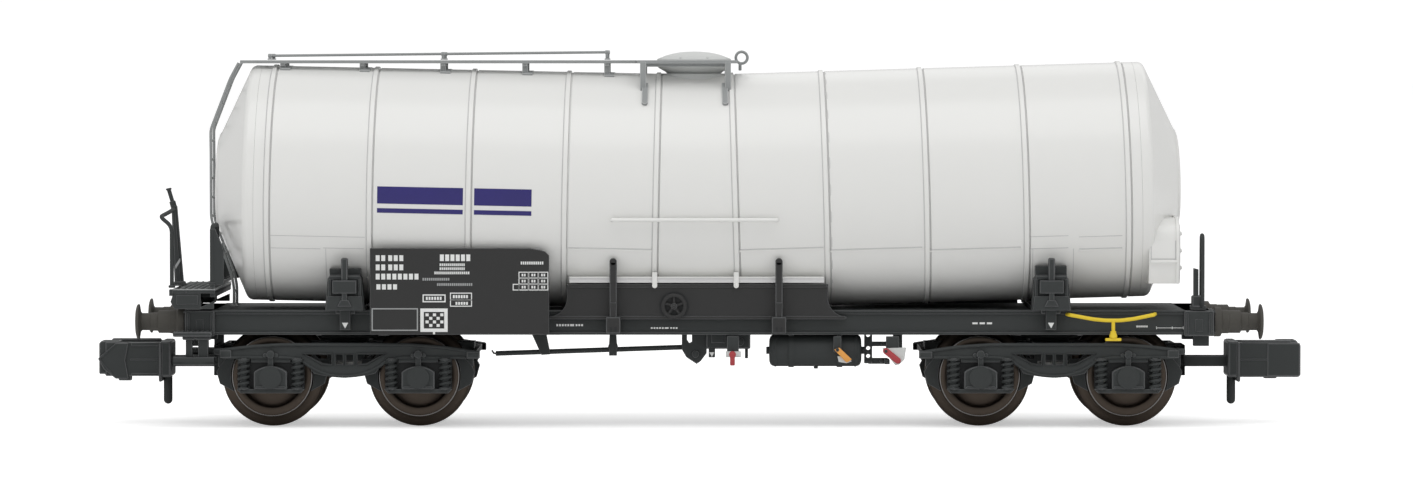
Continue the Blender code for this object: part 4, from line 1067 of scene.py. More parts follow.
def make_signboards():
    """The data panels: blank rows, frames and a table, with no wording."""
    shape = Shape("plate_black")
    outline = [(-25.0, 7.2), (-11.4, 7.2), (-11.4, 13.2), (-11.7, 13.5), (-12.1, 13.62)]
    outline += [(-12.9, 13.75), (-25.0, 13.75)]
    shape.plate([outline], "Y", (-8.57, -8.27))
    shape.box((-25.0, -11.4), (-8.5, -8.1), (7.2, 7.4))
    for x in (-23.5, -18.2, -12.9):
        shape.box((x - 0.5, x + 0.5), (-8.4, -6.8 - GAP), (7.5, 8.6))
    y = -8.57
    code = [(0.3, 0.12)]
    shape.finish = "print_white"
    rows = (
        (-24.55, 12.78, 2, 0.44), (-23.6, 12.78, 3, 0.44), (-24.55, 12.08, 2, 0.44),
        (-23.6, 12.08, 3, 0.44), (-24.55, 11.38, 8, 0.44), (-24.5, 10.62, 4, 0.4),
    )
    for x, z, count, tall in rows:
        add_block_row(shape, x, y, z, code * count, tall)
    add_block_row(shape, -19.68, y, 12.78, [(0.3, 0.1)] * 6, 0.5)
    add_block_row(shape, -13.55, y, 12.52, [(0.11, 0.05)] * 11, 0.22)
    for x, z, count in ((-19.7, 12.4, 13), (-19.7, 12.1, 13), (-20.1, 11.78, 18)):
        add_block_row(shape, x, y, z, [(0.1, 0.05)] * count, 0.2)
    shape.finish = "print_grey"
    for x, z, count in ((-21.0, 11.3, 13), (-19.9, 10.9, 17)):
        add_block_row(shape, x, y, z, [(0.11, 0.05)] * count, 0.2)
    shape.finish = "print_white"
    for row in range(3):
        z = 10.55 + 0.46 * row
        for column in range(3):
            x = -13.72 + 0.74 * column
            add_outlined_box(shape, (x, x + 0.78), y, (z, z + 0.5))
            add_block_row(shape, x + 0.24, y, z + 0.15, [(0.12, 0.06)] * 2, 0.2)
    add_outlined_box(shape, (-14.16, -13.66), y, (10.55, 11.05))
    add_outlined_box(shape, (-21.0, -19.25), y, (9.65, 10.25), 0.09)
    add_block_row(shape, -20.75, y, 9.83, [(0.14, 0.07)] * 6, 0.24)
    add_outlined_box(shape, (-18.92, -17.25), y, (9.32, 9.86))
    add_outlined_box(shape, (-18.92, -17.25), y, (9.8, 10.38))
    add_block_row(shape, -18.7, y, 9.96, [(0.14, 0.06)] * 6, 0.24)
    add_block_row(shape, -18.5, y, 9.46, [(0.14, 0.06)] * 5, 0.22)
    add_outlined_box(shape, (-21.17, -19.1), y, (7.4, 9.18), 0.26)
    add_block_row(shape, -20.22, y, 7.22, [(0.17, 0)], 0.2)
    for row in range(4):
        for column in range(5):
            x = -20.78 + 0.28 * column
            if (row + column) % 2:
                add_block_row(shape, x, y, 7.78 + 0.27 * row, [(0.24, 0)], 0.22)
    shape.finish = "print_grey"
    add_outlined_box(shape, (-24.87, -21.35), y, (7.48, 9.2), 0.09)
    on_both_sides(shape, "signboard", "plate_black")


def make_rope_brackets():
    """The bowed rope brackets, each on a stem with a bell foot."""
    y = -7.9
    shape = Shape("yellow")
    bar = [(28.0, -6.8, 8.66), (28.15, y, 8.66), (29.9, y, 8.34), (30.9, y, 8.24)]
    bar += [(32.0, y, 8.24), (33.0, y, 8.36), (34.55, y, 8.68), (34.7, -6.8, 8.68)]
    shape.wire(rounded(bar, 0.22), 0.145, 14)
    shape.rod((31.45, y, 6.75), (31.45, y, 8.3), 0.14, 16)
    boss = [(0.14, 6.85), (0.3, 6.95), (0.3, 7.12), (0.22, 7.3), (0.22, 7.42), (0.14, 7.45)]
    shape.turned(boss, Matrix.Translation((31.45, y, 0)), 24, looped=True)
    base = arc((31.0, y), 0.17, 90, 270, 8) + arc((31.9, y), 0.17, -90, 90, 8)
    shape.plate([base], "Z", (6.68, 6.9), 0.05)
    on_both_sides(shape, "bracket_yellow", "yellow")


# --- Brake gear ---------------------------------------------------------------------


def make_reservoir():
    """The air reservoir with its weld rings, drain and strap hangers."""
    y = -5.3
    shape = Shape("anthracite")
    shell = [(0, 7.1), (0.85, 7.06), (1.06, 6.98), (1.17, 6.86), (1.22, 6.68)]
    shell += [(1.25, 6.65), (1.25, 6.55), (1.22, 6.52), (1.22, 0.58), (1.25, 0.55), (1.25, 0.45)]
    shell += [(1.22, 0.42), (1.17, 0.24), (1.06, 0.12), (0.85, 0.04), (0, 0)]
    place = Matrix.Translation((5.3, y, 5.85)) @ Matrix.Rotation(math.pi / 2, 4, "Y")
    shape.turned(shell, place, 48)
    for x in (7.0, 10.7):
        strap = [(1.2, -0.2), (1.29, -0.2), (1.29, 0.2), (1.2, 0.2)]
        turn = Matrix.Translation((x, y, 5.85)) @ Matrix.Rotation(math.pi / 2, 4, "Y")
        shape.turned(strap, turn, 48, looped=True)
        for side in (-0.55, 0.55):
            shape.box((x - 0.18, x + 0.18), (y + side - 0.1, y + side + 0.1), (6.7, 8.45 - GAP))
    shape.rod((8.9, y, 4.45), (8.9, y, 4.75), 0.16, 12)
    shape.rod((5.1, y, 5.85), (5.4, y, 5.85), 0.28, 12)
    shape.rod((12.3, y, 5.85), (12.6, y, 5.85), 0.28, 12)
    fixed(shape, "air_reservoir", "anthracite")


def make_brake_rigging():
    """Brake rod, its hangers, the V hanger and the change-over gear block."""
    y = -4.3
    shape = Shape("anthracite")
    shape.rod((-15.6, y, 5.56), (-1.0, y, 6.05), 0.19)
    shape.wire([(-15.5, y, 5.54), (-15.75, y, 5.58), (-15.9, y, 5.8)], 0.07)
    leaning = [(-12.9, 7.2), (-11.75, 7.2), (-11.4, 5.5), (-12.1, 5.45)]
    shape.plate([leaning], "Y", (y - 0.3, y + 0.3))
    right = [(-6.37, 7.2), (-6.32, 6.35), (-6.22, 6.0), (-6.32, 5.92), (-6.32, 5.4)]
    stirrup = [(-13.24 - x, z) for x, z in right]
    shape.plate([right + stirrup[::-1]], "Y", (y - 0.35, y + 0.35))
    shape.box((-12.2, -10.6), (-4.8, -3.8), (7.0, 7.12))
    hanger = [(-1.35, 8.3), (0.65, 8.3), (0.55, 5.6), (0.1, 5.0), (-0.22, 4.78)]
    hanger += [(-1.0, 5.3), (-1.35, 5.9)]
    slot = [(-0.95, 7.6), (-0.58, 7.6), (-0.58, 6.45), (-0.78, 6.35), (-0.95, 6.6)]
    shape.plate([hanger, slot], "Y", (-5.0, -4.6))
    shape.plate([hanger, slot], "Y", (-4.4, -4.0))
    shape.rod((-0.3, -5.2, 5.55), (-0.3, -3.9, 5.55), 0.28)
    shape.box((0.5, 3.9), (-5.3, -3.7), (5.95, 8.4), 0.12)
    shape.box((0.9, 2.0), (-5.45, -5.2), (6.4, 7.9), 0.06)
    shape.box((2.4, 3.6), (-5.4, -5.2), (7.0, 8.1), 0.06)
    shape.rod((3.1, -5.2, 6.5), (3.1, -5.5, 6.5), 0.32)
    shape.rod((3.6, -4.6, 5.2), (3.6, -4.6, 6.1), 0.12)
    shape.box((-6.9, -6.5), (-4.6, -4.0), (7.0, 8.4))
    shape.box((-12.0, -11.0), (-4.6, -4.0), (7.0, 8.4))
    shape.finish = "print_white"
    shape.plate([[(0.75, 5.7), (1.15, 5.7), (0.95, 5.35)]], "Y", (-5.4, -5.3), 0.0)
    shape.finish = "anthracite"
    shape.box((0.7, 1.2), (-5.32, -5.1), (5.3, 6.1), 0.04)
    fixed(shape, "brake_rigging", "anthracite")


def make_lever_bracket():
    """The small frame beside the reservoir that carries the diagonal lever."""
    y = (-5.4, -4.6)
    shape = Shape("anthracite")
    hanger = [(12.6, 4.85), (13.2, 4.85), (13.2, 8.39), (12.6, 8.39)]
    holes = [arc((12.9, z), 0.16, 0, 330, 11) for z in (5.4, 6.0, 7.0, 7.7)]
    shape.plate([hanger, *holes], "Y", (-5.3, -5.1))
    shape.plate([hanger, *holes], "Y", (-4.9, -4.7))
    shape.box((12.6, 13.2), y, (4.85, 5.05))
    shape.box((14.8, 15.5), y, (6.0, 7.29))
    shape.box((12.9, 15.3), (-5.2, -4.8), (6.15, 6.5))
    shape.box((12.9, 14.4), (-5.2, -4.8), (4.8, 5.25))
    shape.box((14.1, 14.5), (-6.8, -4.9), (4.85, 5.2))
    for x, z in ((13.9, 5.03), (15.15, 6.7), (14.0, 6.33)):
        shape.rod((x, -5.5, z), (x, -5.1, z), 0.15, 12)
    fixed(shape, "lever_bracket", "anthracite")


def make_levers():
    """The coloured brake levers, each on its plate."""
    shape = Shape("red")
    shape.box((2.33, 2.7), (-7.38, -7.1), (4.78, 5.75), 0.06)
    shape.rod((2.52, -7.05, 5.62), (2.52, -7.4, 5.62), 0.26)
    shape.finish = "light_grey"
    shape.box((2.0, 3.16), (-7.2, -6.95), (5.4, 5.86), 0.05)
    shape.finish = "anthracite"
    shape.box((2.1, 3.0), (-7.14, -6.9), (5.8, 7.0), 0.05)
    fixed(shape, "lever_red", "red")
    shape = Shape("orange")
    shape.plate([[(10.25, 6.0), (10.65, 6.15), (11.6, 5.25), (11.2, 5.0)]], "Y", (-7.38, -7.15))
    shape.finish = "light_grey"
    sign = [(10.5, 5.5), (11.3, 5.4), (11.6, 5.1), (11.2, 4.95), (10.6, 5.05)]
    shape.plate([sign], "Y", (-7.2, -7.1))
    shape.finish = "anthracite"
    shape.box((10.2, 10.8), (-7.18, -6.9), (5.8, 7.0), 0.05)
    shape.rod((10.5, -7.1, 5.98), (10.5, -7.42, 5.98), 0.14)
    fixed(shape, "lever_orange", "orange")
    shape = Shape("light_grey")
    sign = [(13.9, 6.1), (15.75, 6.15), (15.6, 5.2), (15.2, 4.85), (14.9, 4.8)]
    shape.plate([sign], "Y", (-7.18, -6.98))
    shape.finish = "red"
    grip = arc((14.2, 5.88), 0.24, 45, 225, 6) + arc((15.1, 5.15), 0.24, 225, 405, 6)
    shape.plate([grip], "Y", (-7.38, -7.15), 0.08)
    shape.finish = "anthracite"
    shape.box((14.2, 15.2), (-7.15, -6.9), (5.95, 7.0), 0.05)
    shape.rod((14.2, -7.1, 5.88), (14.2, -7.42, 5.88), 0.13)
    fixed(shape, "lever_diagonal", "light_grey")


# --- Bogies -------------------------------------------------------------------------


def add_coil(shape, x, y, z_span, radius, wire, turns=5):
    """A standing coil spring."""
    steps = 14
    path = []
    for i in range(turns * steps + 1):
        angle = 2 * math.pi * i / steps
        z = z_span[0] + (z_span[1] - z_span[0]) * i / (turns * steps)
        path.append((x + radius * math.cos(angle), y + radius * math.sin(angle), z))
    shape.wire(path, wire, 6)


def add_side_frame(shape, side):
    """One pressed side frame with its windows and raised ribs."""
    belly = arc((0, 12.95), 9.1, -90, -75, 4)
    belly = [(3.4, 5.3), (2.75, 4.75)] + [(x, z) for x, z in reversed(belly) if x > 0.01]
    belly += [(0, 3.85)]
    belly += [(-x, z) for x, z in reversed(belly[:-1])]
    edge = [(-9.3, 5.3), (-9.3, 6.0), (-7.2, 6.3), (-4.8, 6.45), (4.8, 6.45), (7.6, 6.25)]
    edge += [(10.3, 5.85), (10.3, 5.3)]
    outlines = [edge + belly]
    slot = ((0.13, 4.85), (0.66, 4.85), (0.66, 5.6), (0.13, 5.6))
    window = ((0.98, 5.6), (1.0, 4.85), (1.7, 4.95), (2.95, 5.6))
    for sign in (-1, 1):
        for hole in (slot, window):
            outlines.append([(sign * x, z) for x, z in hole])
    shape.plate(outlines, "Y", across(side, 6.5, 6.95))
    face = side * 6.98
    top = rounded([(-9.2, face, 5.95), (-7.2, face, 6.2), (-4.8, face, 6.35), (4.8, face, 6.35),
                   (7.6, face, 6.15), (10.2, face, 5.75)], 0.6)
    shape.wire(top, 0.14, 8)
    belly_rib = ((9.2, 5.38), (4.3, 5.38), (3.3, 5.2), (2.7, 4.72), (1.9, 4.3))
    belly_rib += ((1.0, 4.02), (0, 3.95))
    window_rib = ((0.92, 5.68), (0.92, 4.78), (1.75, 4.86), (3.2, 5.68))
    slot_rib = ((0.06, 5.66), (0.06, 4.78), (0.73, 4.78), (0.73, 5.66))
    for sign in (-1, 1):
        low = [(sign * x, face, z) for x, z in belly_rib]
        shape.wire(rounded(low, 0.3), 0.13, 8)
        for rib, radius in ((window_rib, 0.08), (slot_rib, 0.07)):
            shape.wire([(sign * x, face, z) for x, z in rib], radius, 6, looped=True)
    shape.box((9.3, 10.3), across(side, 6.5, 7.2), (5.3, 5.85), 0.08)
    shape.box((-9.5, -8.6), across(side, 6.5, 7.15), (5.35, 5.95), 0.08)


def add_axlebox(shape, x, side):
    """An axlebox with its round cap, keeper, coil springs and the boss above it."""
    crown = arc((x, 2.72), 2.02, 51, 129, 12)
    shape.plate([[(x + 1.27, 2.98)] + crown + [(x - 1.27, 2.98)]], "Y", across(side, 6.5, 7.4), 0.1)
    stand = Matrix.Translation((x, side * 7.36, 3.85)) @ Matrix.Rotation(side * math.pi / 2, 4, "X")
    cap = [(0, 0.24), (0.34, 0.22), (0.42, 0.14), (0.86, 0.0), (0.86, -0.2), (0, -0.2)]
    shape.turned(cap, stand, 32)
    shape.box((x - 1.1, x + 1.1), across(side, 7.3, 7.5), (3.02, 3.2), 0.04)
    # A dark sheet behind the springs and axlebox: painted shade in the gaps of the frame
    shape.finish = "anthracite_painted_shade"
    shape.box((x - 2.55, x + 2.55), across(side, 6.3, 6.5), (2.95, 5.3), 0.0)
    shape.finish = "anthracite"
    keeper = [(x - 2.6, 2.98), (x + 2.6, 2.98), (x + 2.3, 2.66), (x - 2.3, 2.66)]
    shape.plate([keeper], "Y", across(side, 6.6, 7.2))
    y = side * 6.98
    for centre in (x - 2.05, x + 2.05):
        shape.rod((centre, y, 2.9), (centre, y, 5.35), 0.28, 12)
        add_coil(shape, centre, y, (3.1, 5.2), 0.38, 0.12)
        shape.rod((centre, y, 2.95), (centre, y, 3.1), 0.48, 16)
        shape.rod((centre, y, 5.15), (centre, y, 5.3), 0.48, 16)
    shape.box((x - 0.2, x + 0.2), across(side, 6.6, 7.22), (4.7, 5.5))
    shape.box((x - 1.5, x + 1.5), across(side, 6.5, 6.95), (5.0, 5.4))
    shape.rod((x, side * 6.9, 5.62), (x, side * 7.35, 5.62), 0.3, 20)
    for sign in (-1, 1):
        pin = x + sign * 0.42
        shape.rod((pin, side * 6.95, 5.55), (pin, side * 7.2, 5.55), 0.16, 12)
        shape.bolt((x + sign * 2.3, side * 7.2, 2.84), (0, side, 0), 0.1, 0.1)


def add_brake_shoe(shape, x, out, side):
    """A brake shoe on the side of the wheel that out points to, thickest at the axle's height."""
    angles = (-22, 26) if out > 0 else (202, 154)
    tread = arc((x, AXLE_Z), TREAD_RADIUS + 0.1, *angles, 10)
    back = ((3.2, 5.6), (3.95, 4.75), (4.25, 4.2), (4.0, 3.3))
    outline = tread + [(x + out * reach, z) for reach, z in back]
    shape.plate([outline], "Y", across(side, 4.5, 5.4))


def make_bogie_frames():
    """The bogie mouldings: side frames, bolster, end beams and coupler pocket."""
    shape = Shape("anthracite")
    for side in SIDES.values():
        shape.box((-1.45, 1.45), across(side, 1.4, 5.2), (5.0, 6.4), 0.08)
        shape.box((-1.45, 1.45), across(side, 5.0, 6.6), (5.75, 6.45), 0.08)
    shape.turned([(0.62, 5.3), (1.5, 5.3), (1.5, 6.5), (0.62, 6.5)], sides=40, looped=True)
    for x_span in ((-6.95, -1.3), (1.3, 9.7)):
        shape.box(x_span, (-1.6, 1.6), (5.3, 6.3))
    shape.box((-10.0, -9.6), (-6.6, 6.6), (5.7, 6.0))
    shape.box((9.5, 10.0), (-6.6, 6.6), (5.4, 5.8))
    shape.box((-10.35, -9.95), (-1.9, 1.9), (5.55, 6.1))
    shape.box((-10.35, -9.95), (-1.9, 1.9), (3.75, 4.1))
    shape.box((-7.15, -6.75), (-1.9, 1.9), (3.75, 6.1))
    shape.box((-10.35, -6.75), (-1.9, 1.9), (5.65, 6.1))
    for side in SIDES.values():
        shape.box((-10.35, -6.75), across(side, 1.5, 1.9), (3.75, 6.1))
        shape.box((-10.35, -9.95), across(side, 1.05, 1.9), (3.75, 6.1))
        shape.box((-10.35, -6.75), across(side, 0.9, 1.9), (3.75, 4.05))
        add_side_frame(shape, side)
        shape.box((-9.9, -9.0), across(side, 6.2, 6.9), (5.6, 6.05))
        for x in (-AXLE_OFFSET, AXLE_OFFSET):
            outward = math.copysign(1, x)
            add_axlebox(shape, x, side)
            add_brake_shoe(shape, x, outward, side)
            add_brake_shoe(shape, x, -outward, side)
            shape.box((outward * 9.1, outward * 9.75), across(side, 4.55, 5.35), (4.6, 5.85))
            shape.box((outward * 1.2, outward * 2.1), across(side, 4.55, 5.35), (4.3, 5.2))
    for end, sign in ENDS.items():
        place = Matrix.Translation((sign * PIVOT_X, 0, 0)) @ half_turn(sign)
        shape.finished("bogie_frame_" + end, "bogie_" + end, "anthracite", place)


def make_wheelsets():
    """Turned wheels with a bright rim, each pair on its pin-point axle."""
    face = [(0.62, 1.9), (0.95, 1.9), (1.02, 1.84), (1.12, 1.5), (1.3, 1.42), (2.1, 1.32)]
    face += [(2.28, 1.42), (2.4, 1.72), (2.46, 1.76), (2.94, 1.76), (3.03, 1.72)]
    tread = [(TREAD_RADIUS, 1.66), (3.1, 0.78), (3.2, 0.68), (3.5, 0.58)]
    flange = [(3.72, 0.5), (3.84, 0.4), (FLANGE_RADIUS, 0.3), (3.86, 0.18)]
    flange += [(3.76, 0.06), (3.6, 0), (0.62, 0)]
    line = [(3.0, 1.7), (3.0, 1.79), (3.06, 1.77), (3.08, 1.6)]
    half = [(0, 6.9), (0.08, 6.88), (0.5, 6.4), (0.5, 6.0), (0.62, 5.85)]
    rod = half + [(radius, -height) for radius, height in reversed(half)]
    sleeve = [(0.62, 0.9), (0.78, 0.85), (0.78, -0.85), (0.62, -0.9)]
    upright = Matrix.Rotation(math.pi / 2, 4, "X")
    for end, sign in ENDS.items():
        for place, offset in (("outer", AXLE_OFFSET), ("inner", -AXLE_OFFSET)):
            body = f"wheelset_{end}_{place}"
            centre = Matrix.Translation((sign * (PIVOT_X + offset), 0, AXLE_Z))
            shape = Shape("steel")
            shape.turned(rod, upright, 32)
            shape.turned(sleeve, upright, 32, looped=True)
            shape.finished(f"axle_{end}_{place}", body, "steel", centre)
            for side, where in SIDES.items():
                shape = Shape("wheel_bronze")
                shape.turned(face + tread + flange, upright, 96, looped=True)
                shape.finish = "wheel_rim"
                shape.turned(line, upright, 96, looped=True)
                out = centre @ Matrix.Translation((0, where * WHEEL_Y, 0)) @ half_turn(where)
                shape.finished(f"wheel_{end}_{place}_{side}", body, "wheel_bronze", out)


def make_couplers():
    """Hook couplers with their springs."""
    shape = Shape("anthracite")
    shape.box((-4.4, 0.12), (-0.7, 0.7), (-0.42, 0.42), 0.08)
    shape.box((-0.15, 0.2), (-1.32, 1.32), (-0.5, 0.5))
    shape.box((-4.9, -4.02), (-2.0, 2.0), (-1.2, 1.62), 0.2)
    shape.box((-5.0, -4.75), (-2.1, 2.1), (-1.55, 1.5), 0.12)
    shape.box((-9.1, -4.6), (-1.95, -1.5), (-1.1, 1.52), 0.08)
    shape.box((-7.2, -5.0), (-1.99, -1.85), (0.1, 0.24), 0.03)
    shape.box((-7.1, -5.0), (-2.02, -1.85), (1.2, 1.5), 0.05)
    shape.box((-7.1, -5.0), (-2.02, -1.85), (-1.08, -0.85), 0.05)
    barb = [(-9.67, 0.25), (-8.3, 1.45), (-7.3, 1.45), (-7.55, 0.1), (-7.3, -1.3), (-8.3, -1.3)]
    shape.plate([barb + [(-9.2, -0.6)]], "Y", (-2.1, -1.6), 0.07)
    lip = [(-9.62, 0.26), (-8.32, 1.4), (-8.2, 1.4), (-9.5, 0.2), (-8.5, -0.95), (-8.62, -0.98)]
    shape.plate([lip], "Y", (-2.16, -2.0), 0.02)
    cheek = [(-9.5, -1.18), (-4.6, -1.18), (-4.6, 1.52), (-9.35, 1.52)]
    cheek += [(-9.65, 1.25), (-9.65, -1.0)]
    shape.plate([cheek], "Y", (1.5, 1.98), 0.1)
    shape.box((-9.6, -7.05), (1.8, 2.06), (-1.12, 1.45), 0.1)
    shape.box((-8.9, -5.1), (1.2, 1.9), (1.4, 1.66), 0.1)
    shape.box((-7.1, -5.0), (1.9, 2.03), (0.1, 0.24), 0.03)
    nose = [(-9.6, -0.95), (-8.0, -0.95), (-8.0, 1.6), (-9.45, 1.6), (-9.6, 1.4)]
    shape.plate([nose], "Y", (-1.85, 0.3), 0.1)
    shape.box((-8.1, -7.1), (-1.9, -1.2), (-1.45, -1.05), 0.08)
    shape.rod((-4.45, 0, -3.05), (-4.45, 0, -0.9), 0.34, 24)
    dome = [(0, -3.35), (0.14, -3.32), (0.26, -3.23), (0.33, -3.1), (0.34, -3.0), (0, -3.0)]
    shape.turned(dome, Matrix.Translation((-4.45, 0, 0)), 24)
    shape.rod((-9.3, 1.6, -0.5), (-9.3, 1.6, 0.9), 0.3, 16)
    spring = Shape("steel")
    turns = 5
    steps = 16
    path = []
    for i in range(turns * steps + 1):
        angle = 2 * math.pi * i / steps
        x = 0.42 + 1.8 * i / (turns * steps)
        path.append((x, 0.52 * math.cos(angle), 0.52 * math.sin(angle)))
    spring.wire(path, 0.1, 8)
    for end, sign in ENDS.items():
        pivot = Matrix.Translation((sign * (PIVOT_X + COUPLER_PIVOT), 0, COUPLER_Z))
        place = pivot @ half_turn(sign)
        shape.finished("coupler_" + end, "coupler_head_" + end, "anthracite", place)
        spring.finished("coupler_spring_" + end, "coupler_carrier_" + end, "steel", place)


def dress_hidden_parts():
    """Gives the pivot screws and the ballast weight their steel."""
    for node in ("pivot_screw_left", "pivot_screw_right", "ballast_weight"):
        data = frame["nodes"][node].data
        data.materials.clear()
        data.materials.append(bpy.data.materials["steel"])


# --- Stage --------------------------------------------------------------------------


def brightness(tree, lit, seen):
    """How bright a surface is: lit for the light that it gives, seen when it is looked at."""
    looked_at = tree.nodes.new("ShaderNodeLightPath").outputs["Is Camera Ray"]
    levels = {"Value": looked_at, "To Min": lit, "To Max": seen}
    return linked(tree, "ShaderNodeMapRange", levels).outputs["Result"]


def add_soft_light(name, place, target, size, power):
    """A rectangular lamp facing its target, in metres and watts."""
    lamp = bpy.data.lights.new(name, "AREA")
    lamp.shape = "RECTANGLE"
    lamp.size, lamp.size_y = size
    lamp.energy = power
    stand = bpy.data.objects.new(name, lamp)
    stand.location = place
    stand.rotation_euler = (Vector(target) - Vector(place)).to_track_quat("-Z", "Y").to_euler()
    bpy.context.scene.collection.objects.link(stand)


def make_floor():
    """A white floor that fades into the backdrop and holds soft shadows."""
    mesh = bpy.data.meshes.new("floor")
    half = 6.0
    corners = [(-half, -half, 0), (half, -half, 0), (half, half, 0), (-half, half, 0)]
    mesh.from_pydata(corners, [], [(0, 1, 2, 3)])
    made = add_finish("floor_white", (0.9, 0.9, 0.9), 0.75, clouds=0.004, grain=0.0)
    shader = made.node_tree.nodes["Principled BSDF"]
    shader.inputs["Specular IOR Level"].default_value = 0.15
    shader.inputs["Emission Color"].default_value = (1, 1, 1, 1)
    tree = made.node_tree
    tree.links.new(brightness(tree, 0.04, 0.46), shader.inputs["Emission Strength"])
    mesh.materials.append(made)
    floor = bpy.data.objects.new("floor", mesh)
    bpy.context.scene.collection.objects.link(floor)


def make_world():
    """A white dome that lights softly and is seen brighter than it lights."""
    world = bpy.data.worlds.new("studio")
    world.use_nodes = True
    tree = world.node_tree
    tree.nodes.clear()
    white = {"Color": (1, 1, 1, 1), "Strength": brightness(tree, 0.61, 1.05)}
    glow = linked(tree, "ShaderNodeBackground", white)
    linked(tree, "ShaderNodeOutputWorld", {"Surface": glow.outputs["Background"]})
    bpy.context.scene.world = world


def make_camera():
    """A long lens, looking at the wagon's near side from a little above."""
    distance = 0.47
    elevation = math.radians(1.8)
    target = Vector((0.00054, 0, 0.01354))
    data = bpy.data.cameras.new("camera")
    data.sensor_width = 36
    data.lens = 155
    data.clip_start = 0.01
    camera = bpy.data.objects.new("camera", data)
    camera.location = target + Vector((0, -math.cos(elevation), math.sin(elevation))) * distance
    camera.rotation_euler = (math.pi / 2 - elevation, 0, 0)
    bpy.context.scene.collection.objects.link(camera)
    bpy.context.scene.camera = camera


def make_stage():
    make_floor()
    make_world()
    make_camera()
    add_soft_light("top_box", (0.0, -0.25, 0.6), (0, 0, 0.015), (0.9, 0.5), 1.9)
    add_soft_light("front_box", (-0.25, -0.7, 0.22), (0, 0, 0.012), (0.5, 0.35), 0.1)
    add_soft_light("back_box", (0.1, 0.6, 0.45), (0, 0, 0.015), (0.8, 0.4), 0.5)
    bpy.context.scene.view_settings.view_transform = "Standard"


# --- Add-on -------------------------------------------------------------------------


class WagonSizes(bpy.types.PropertyGroup):
    rounding: bpy.props.FloatProperty(
        name="Rounding", description="Radius of the moulded corners", default=0.00004, unit="LENGTH"
    )
    band_width: bpy.props.FloatProperty(
        name="Band width",
        description="Width of the tank's ring bands",
        default=0.00036,
        unit="LENGTH",
    )
    band_height: bpy.props.FloatProperty(
        name="Band height", description="How far the bands stand out", default=0.0001, unit="LENGTH"
    )
    grating_pitch: bpy.props.FloatProperty(
        name="Grating pitch", description="Space between bars", default=0.00046, unit="LENGTH"
    )
    print_thickness: bpy.props.FloatProperty(
        name="Print thickness", description="Of the marks", default=0.00002, unit="LENGTH"
    )


def colour_setting(name, description, default):
    return bpy.props.FloatVectorProperty(
        name=name,
        description=description,
        default=default,
        subtype="COLOR",
        size=3,
        min=0.0,
        max=1.0,
    )


class WagonColours(bpy.types.PropertyGroup):
    tank: colour_setting("Tank", "The tank's paint", (0.80, 0.80, 0.80))
    moulding: colour_setting("Moulding", "The dark plastic", (0.024, 0.027, 0.029))
    plate: colour_setting("Plate", "The side plates and signboards", (0.024, 0.025, 0.027))
    walkway: colour_setting("Walkway", "Walkway, ladder and rails", (0.37, 0.38, 0.38))
    manhole: colour_setting("Manhole", "The neck and its cover", (0.60, 0.61, 0.60))
    wheel: colour_setting("Wheel", "The blackened wheels", (0.080, 0.068, 0.060))
    buffer: colour_setting("Buffer", "The buffers", (0.050, 0.048, 0.041))
    steel: colour_setting("Steel", "Axles, screws and springs", (0.45, 0.45, 0.44))
    rope_bracket: colour_setting("Rope bracket", "The bowed brackets", (0.80, 0.58, 0.03))
    orange_lever: colour_setting("Orange lever", "The middle lever", (0.80, 0.36, 0.08))
    red_lever: colour_setting("Red lever", "The small levers", (0.42, 0.05, 0.06))
    stripe: colour_setting("Stripe", "The stripes on the tank", (0.018, 0.012, 0.15))


class WAGON_OT_finishes(bpy.types.Operator):
    """Makes the paints, plastics and metals"""

    bl_idname = "wagon.finishes"
    bl_label = "Finishes"

    def execute(self, context):
        make_finishes(context.scene.wagon_colours)
        return {"FINISHED"}


class WAGON_OT_tank(bpy.types.Operator):
    """Makes the jacket, its ends, the hood and the side rails"""

    bl_idname = "wagon.tank"
    bl_label = "Tank"

    def execute(self, context):
        make_barrel(context.scene.wagon_sizes)
        make_tank_ends()
        make_hood()
        make_side_rails()
        return {"FINISHED"}


class WAGON_OT_manhole(bpy.types.Operator):
    """Makes the manhole's neck, cover and platform"""

    bl_idname = "wagon.manhole"
    bl_label = "Manhole"

    def execute(self, context):
        make_manhole()
        make_manhole_platform(context.scene.wagon_sizes)
        return {"FINISHED"}


class WAGON_OT_walkway(bpy.types.Operator):
    """Makes the walkway, its railing and the end ladder"""

    bl_idname = "wagon.walkway"
    bl_label = "Walkway and Ladder"

    def execute(self, context):
        make_walkway(context.scene.wagon_sizes)
        make_ladder()
        return {"FINISHED"}


class WAGON_OT_underframe(bpy.types.Operator):
    """Makes the underframe and its hidden fixings"""

    bl_idname = "wagon.underframe"
    bl_label = "Underframe"

    def execute(self, context):
        make_underframe()
        dress_hidden_parts()
        return {"FINISHED"}


class WAGON_OT_buffers(bpy.types.Operator):
    """Makes the four buffers"""

    bl_idname = "wagon.buffers"
    bl_label = "Buffers"

    def execute(self, context):
        make_buffers()
        return {"FINISHED"}


class WAGON_OT_end_platform(bpy.types.Operator):
    """Makes the brake platform, its railing and column"""

    bl_idname = "wagon.end_platform"
    bl_label = "Brake Platform"

    def execute(self, context):
        make_end_platform()
        make_end_railing()
        make_brake_column()
        return {"FINISHED"}


class WAGON_OT_steps(bpy.types.Operator):
    """Makes the steps and the corner rail"""

    bl_idname = "wagon.steps"
    bl_label = "Steps and Rail"

    def execute(self, context):
        make_steps()
        make_corner_rail()
        return {"FINISHED"}


class WAGON_OT_saddles(bpy.types.Operator):
    """Makes the saddles with their stakes"""

    bl_idname = "wagon.saddles"
    bl_label = "Saddles"

    def execute(self, context):
        make_saddles()
        return {"FINISHED"}


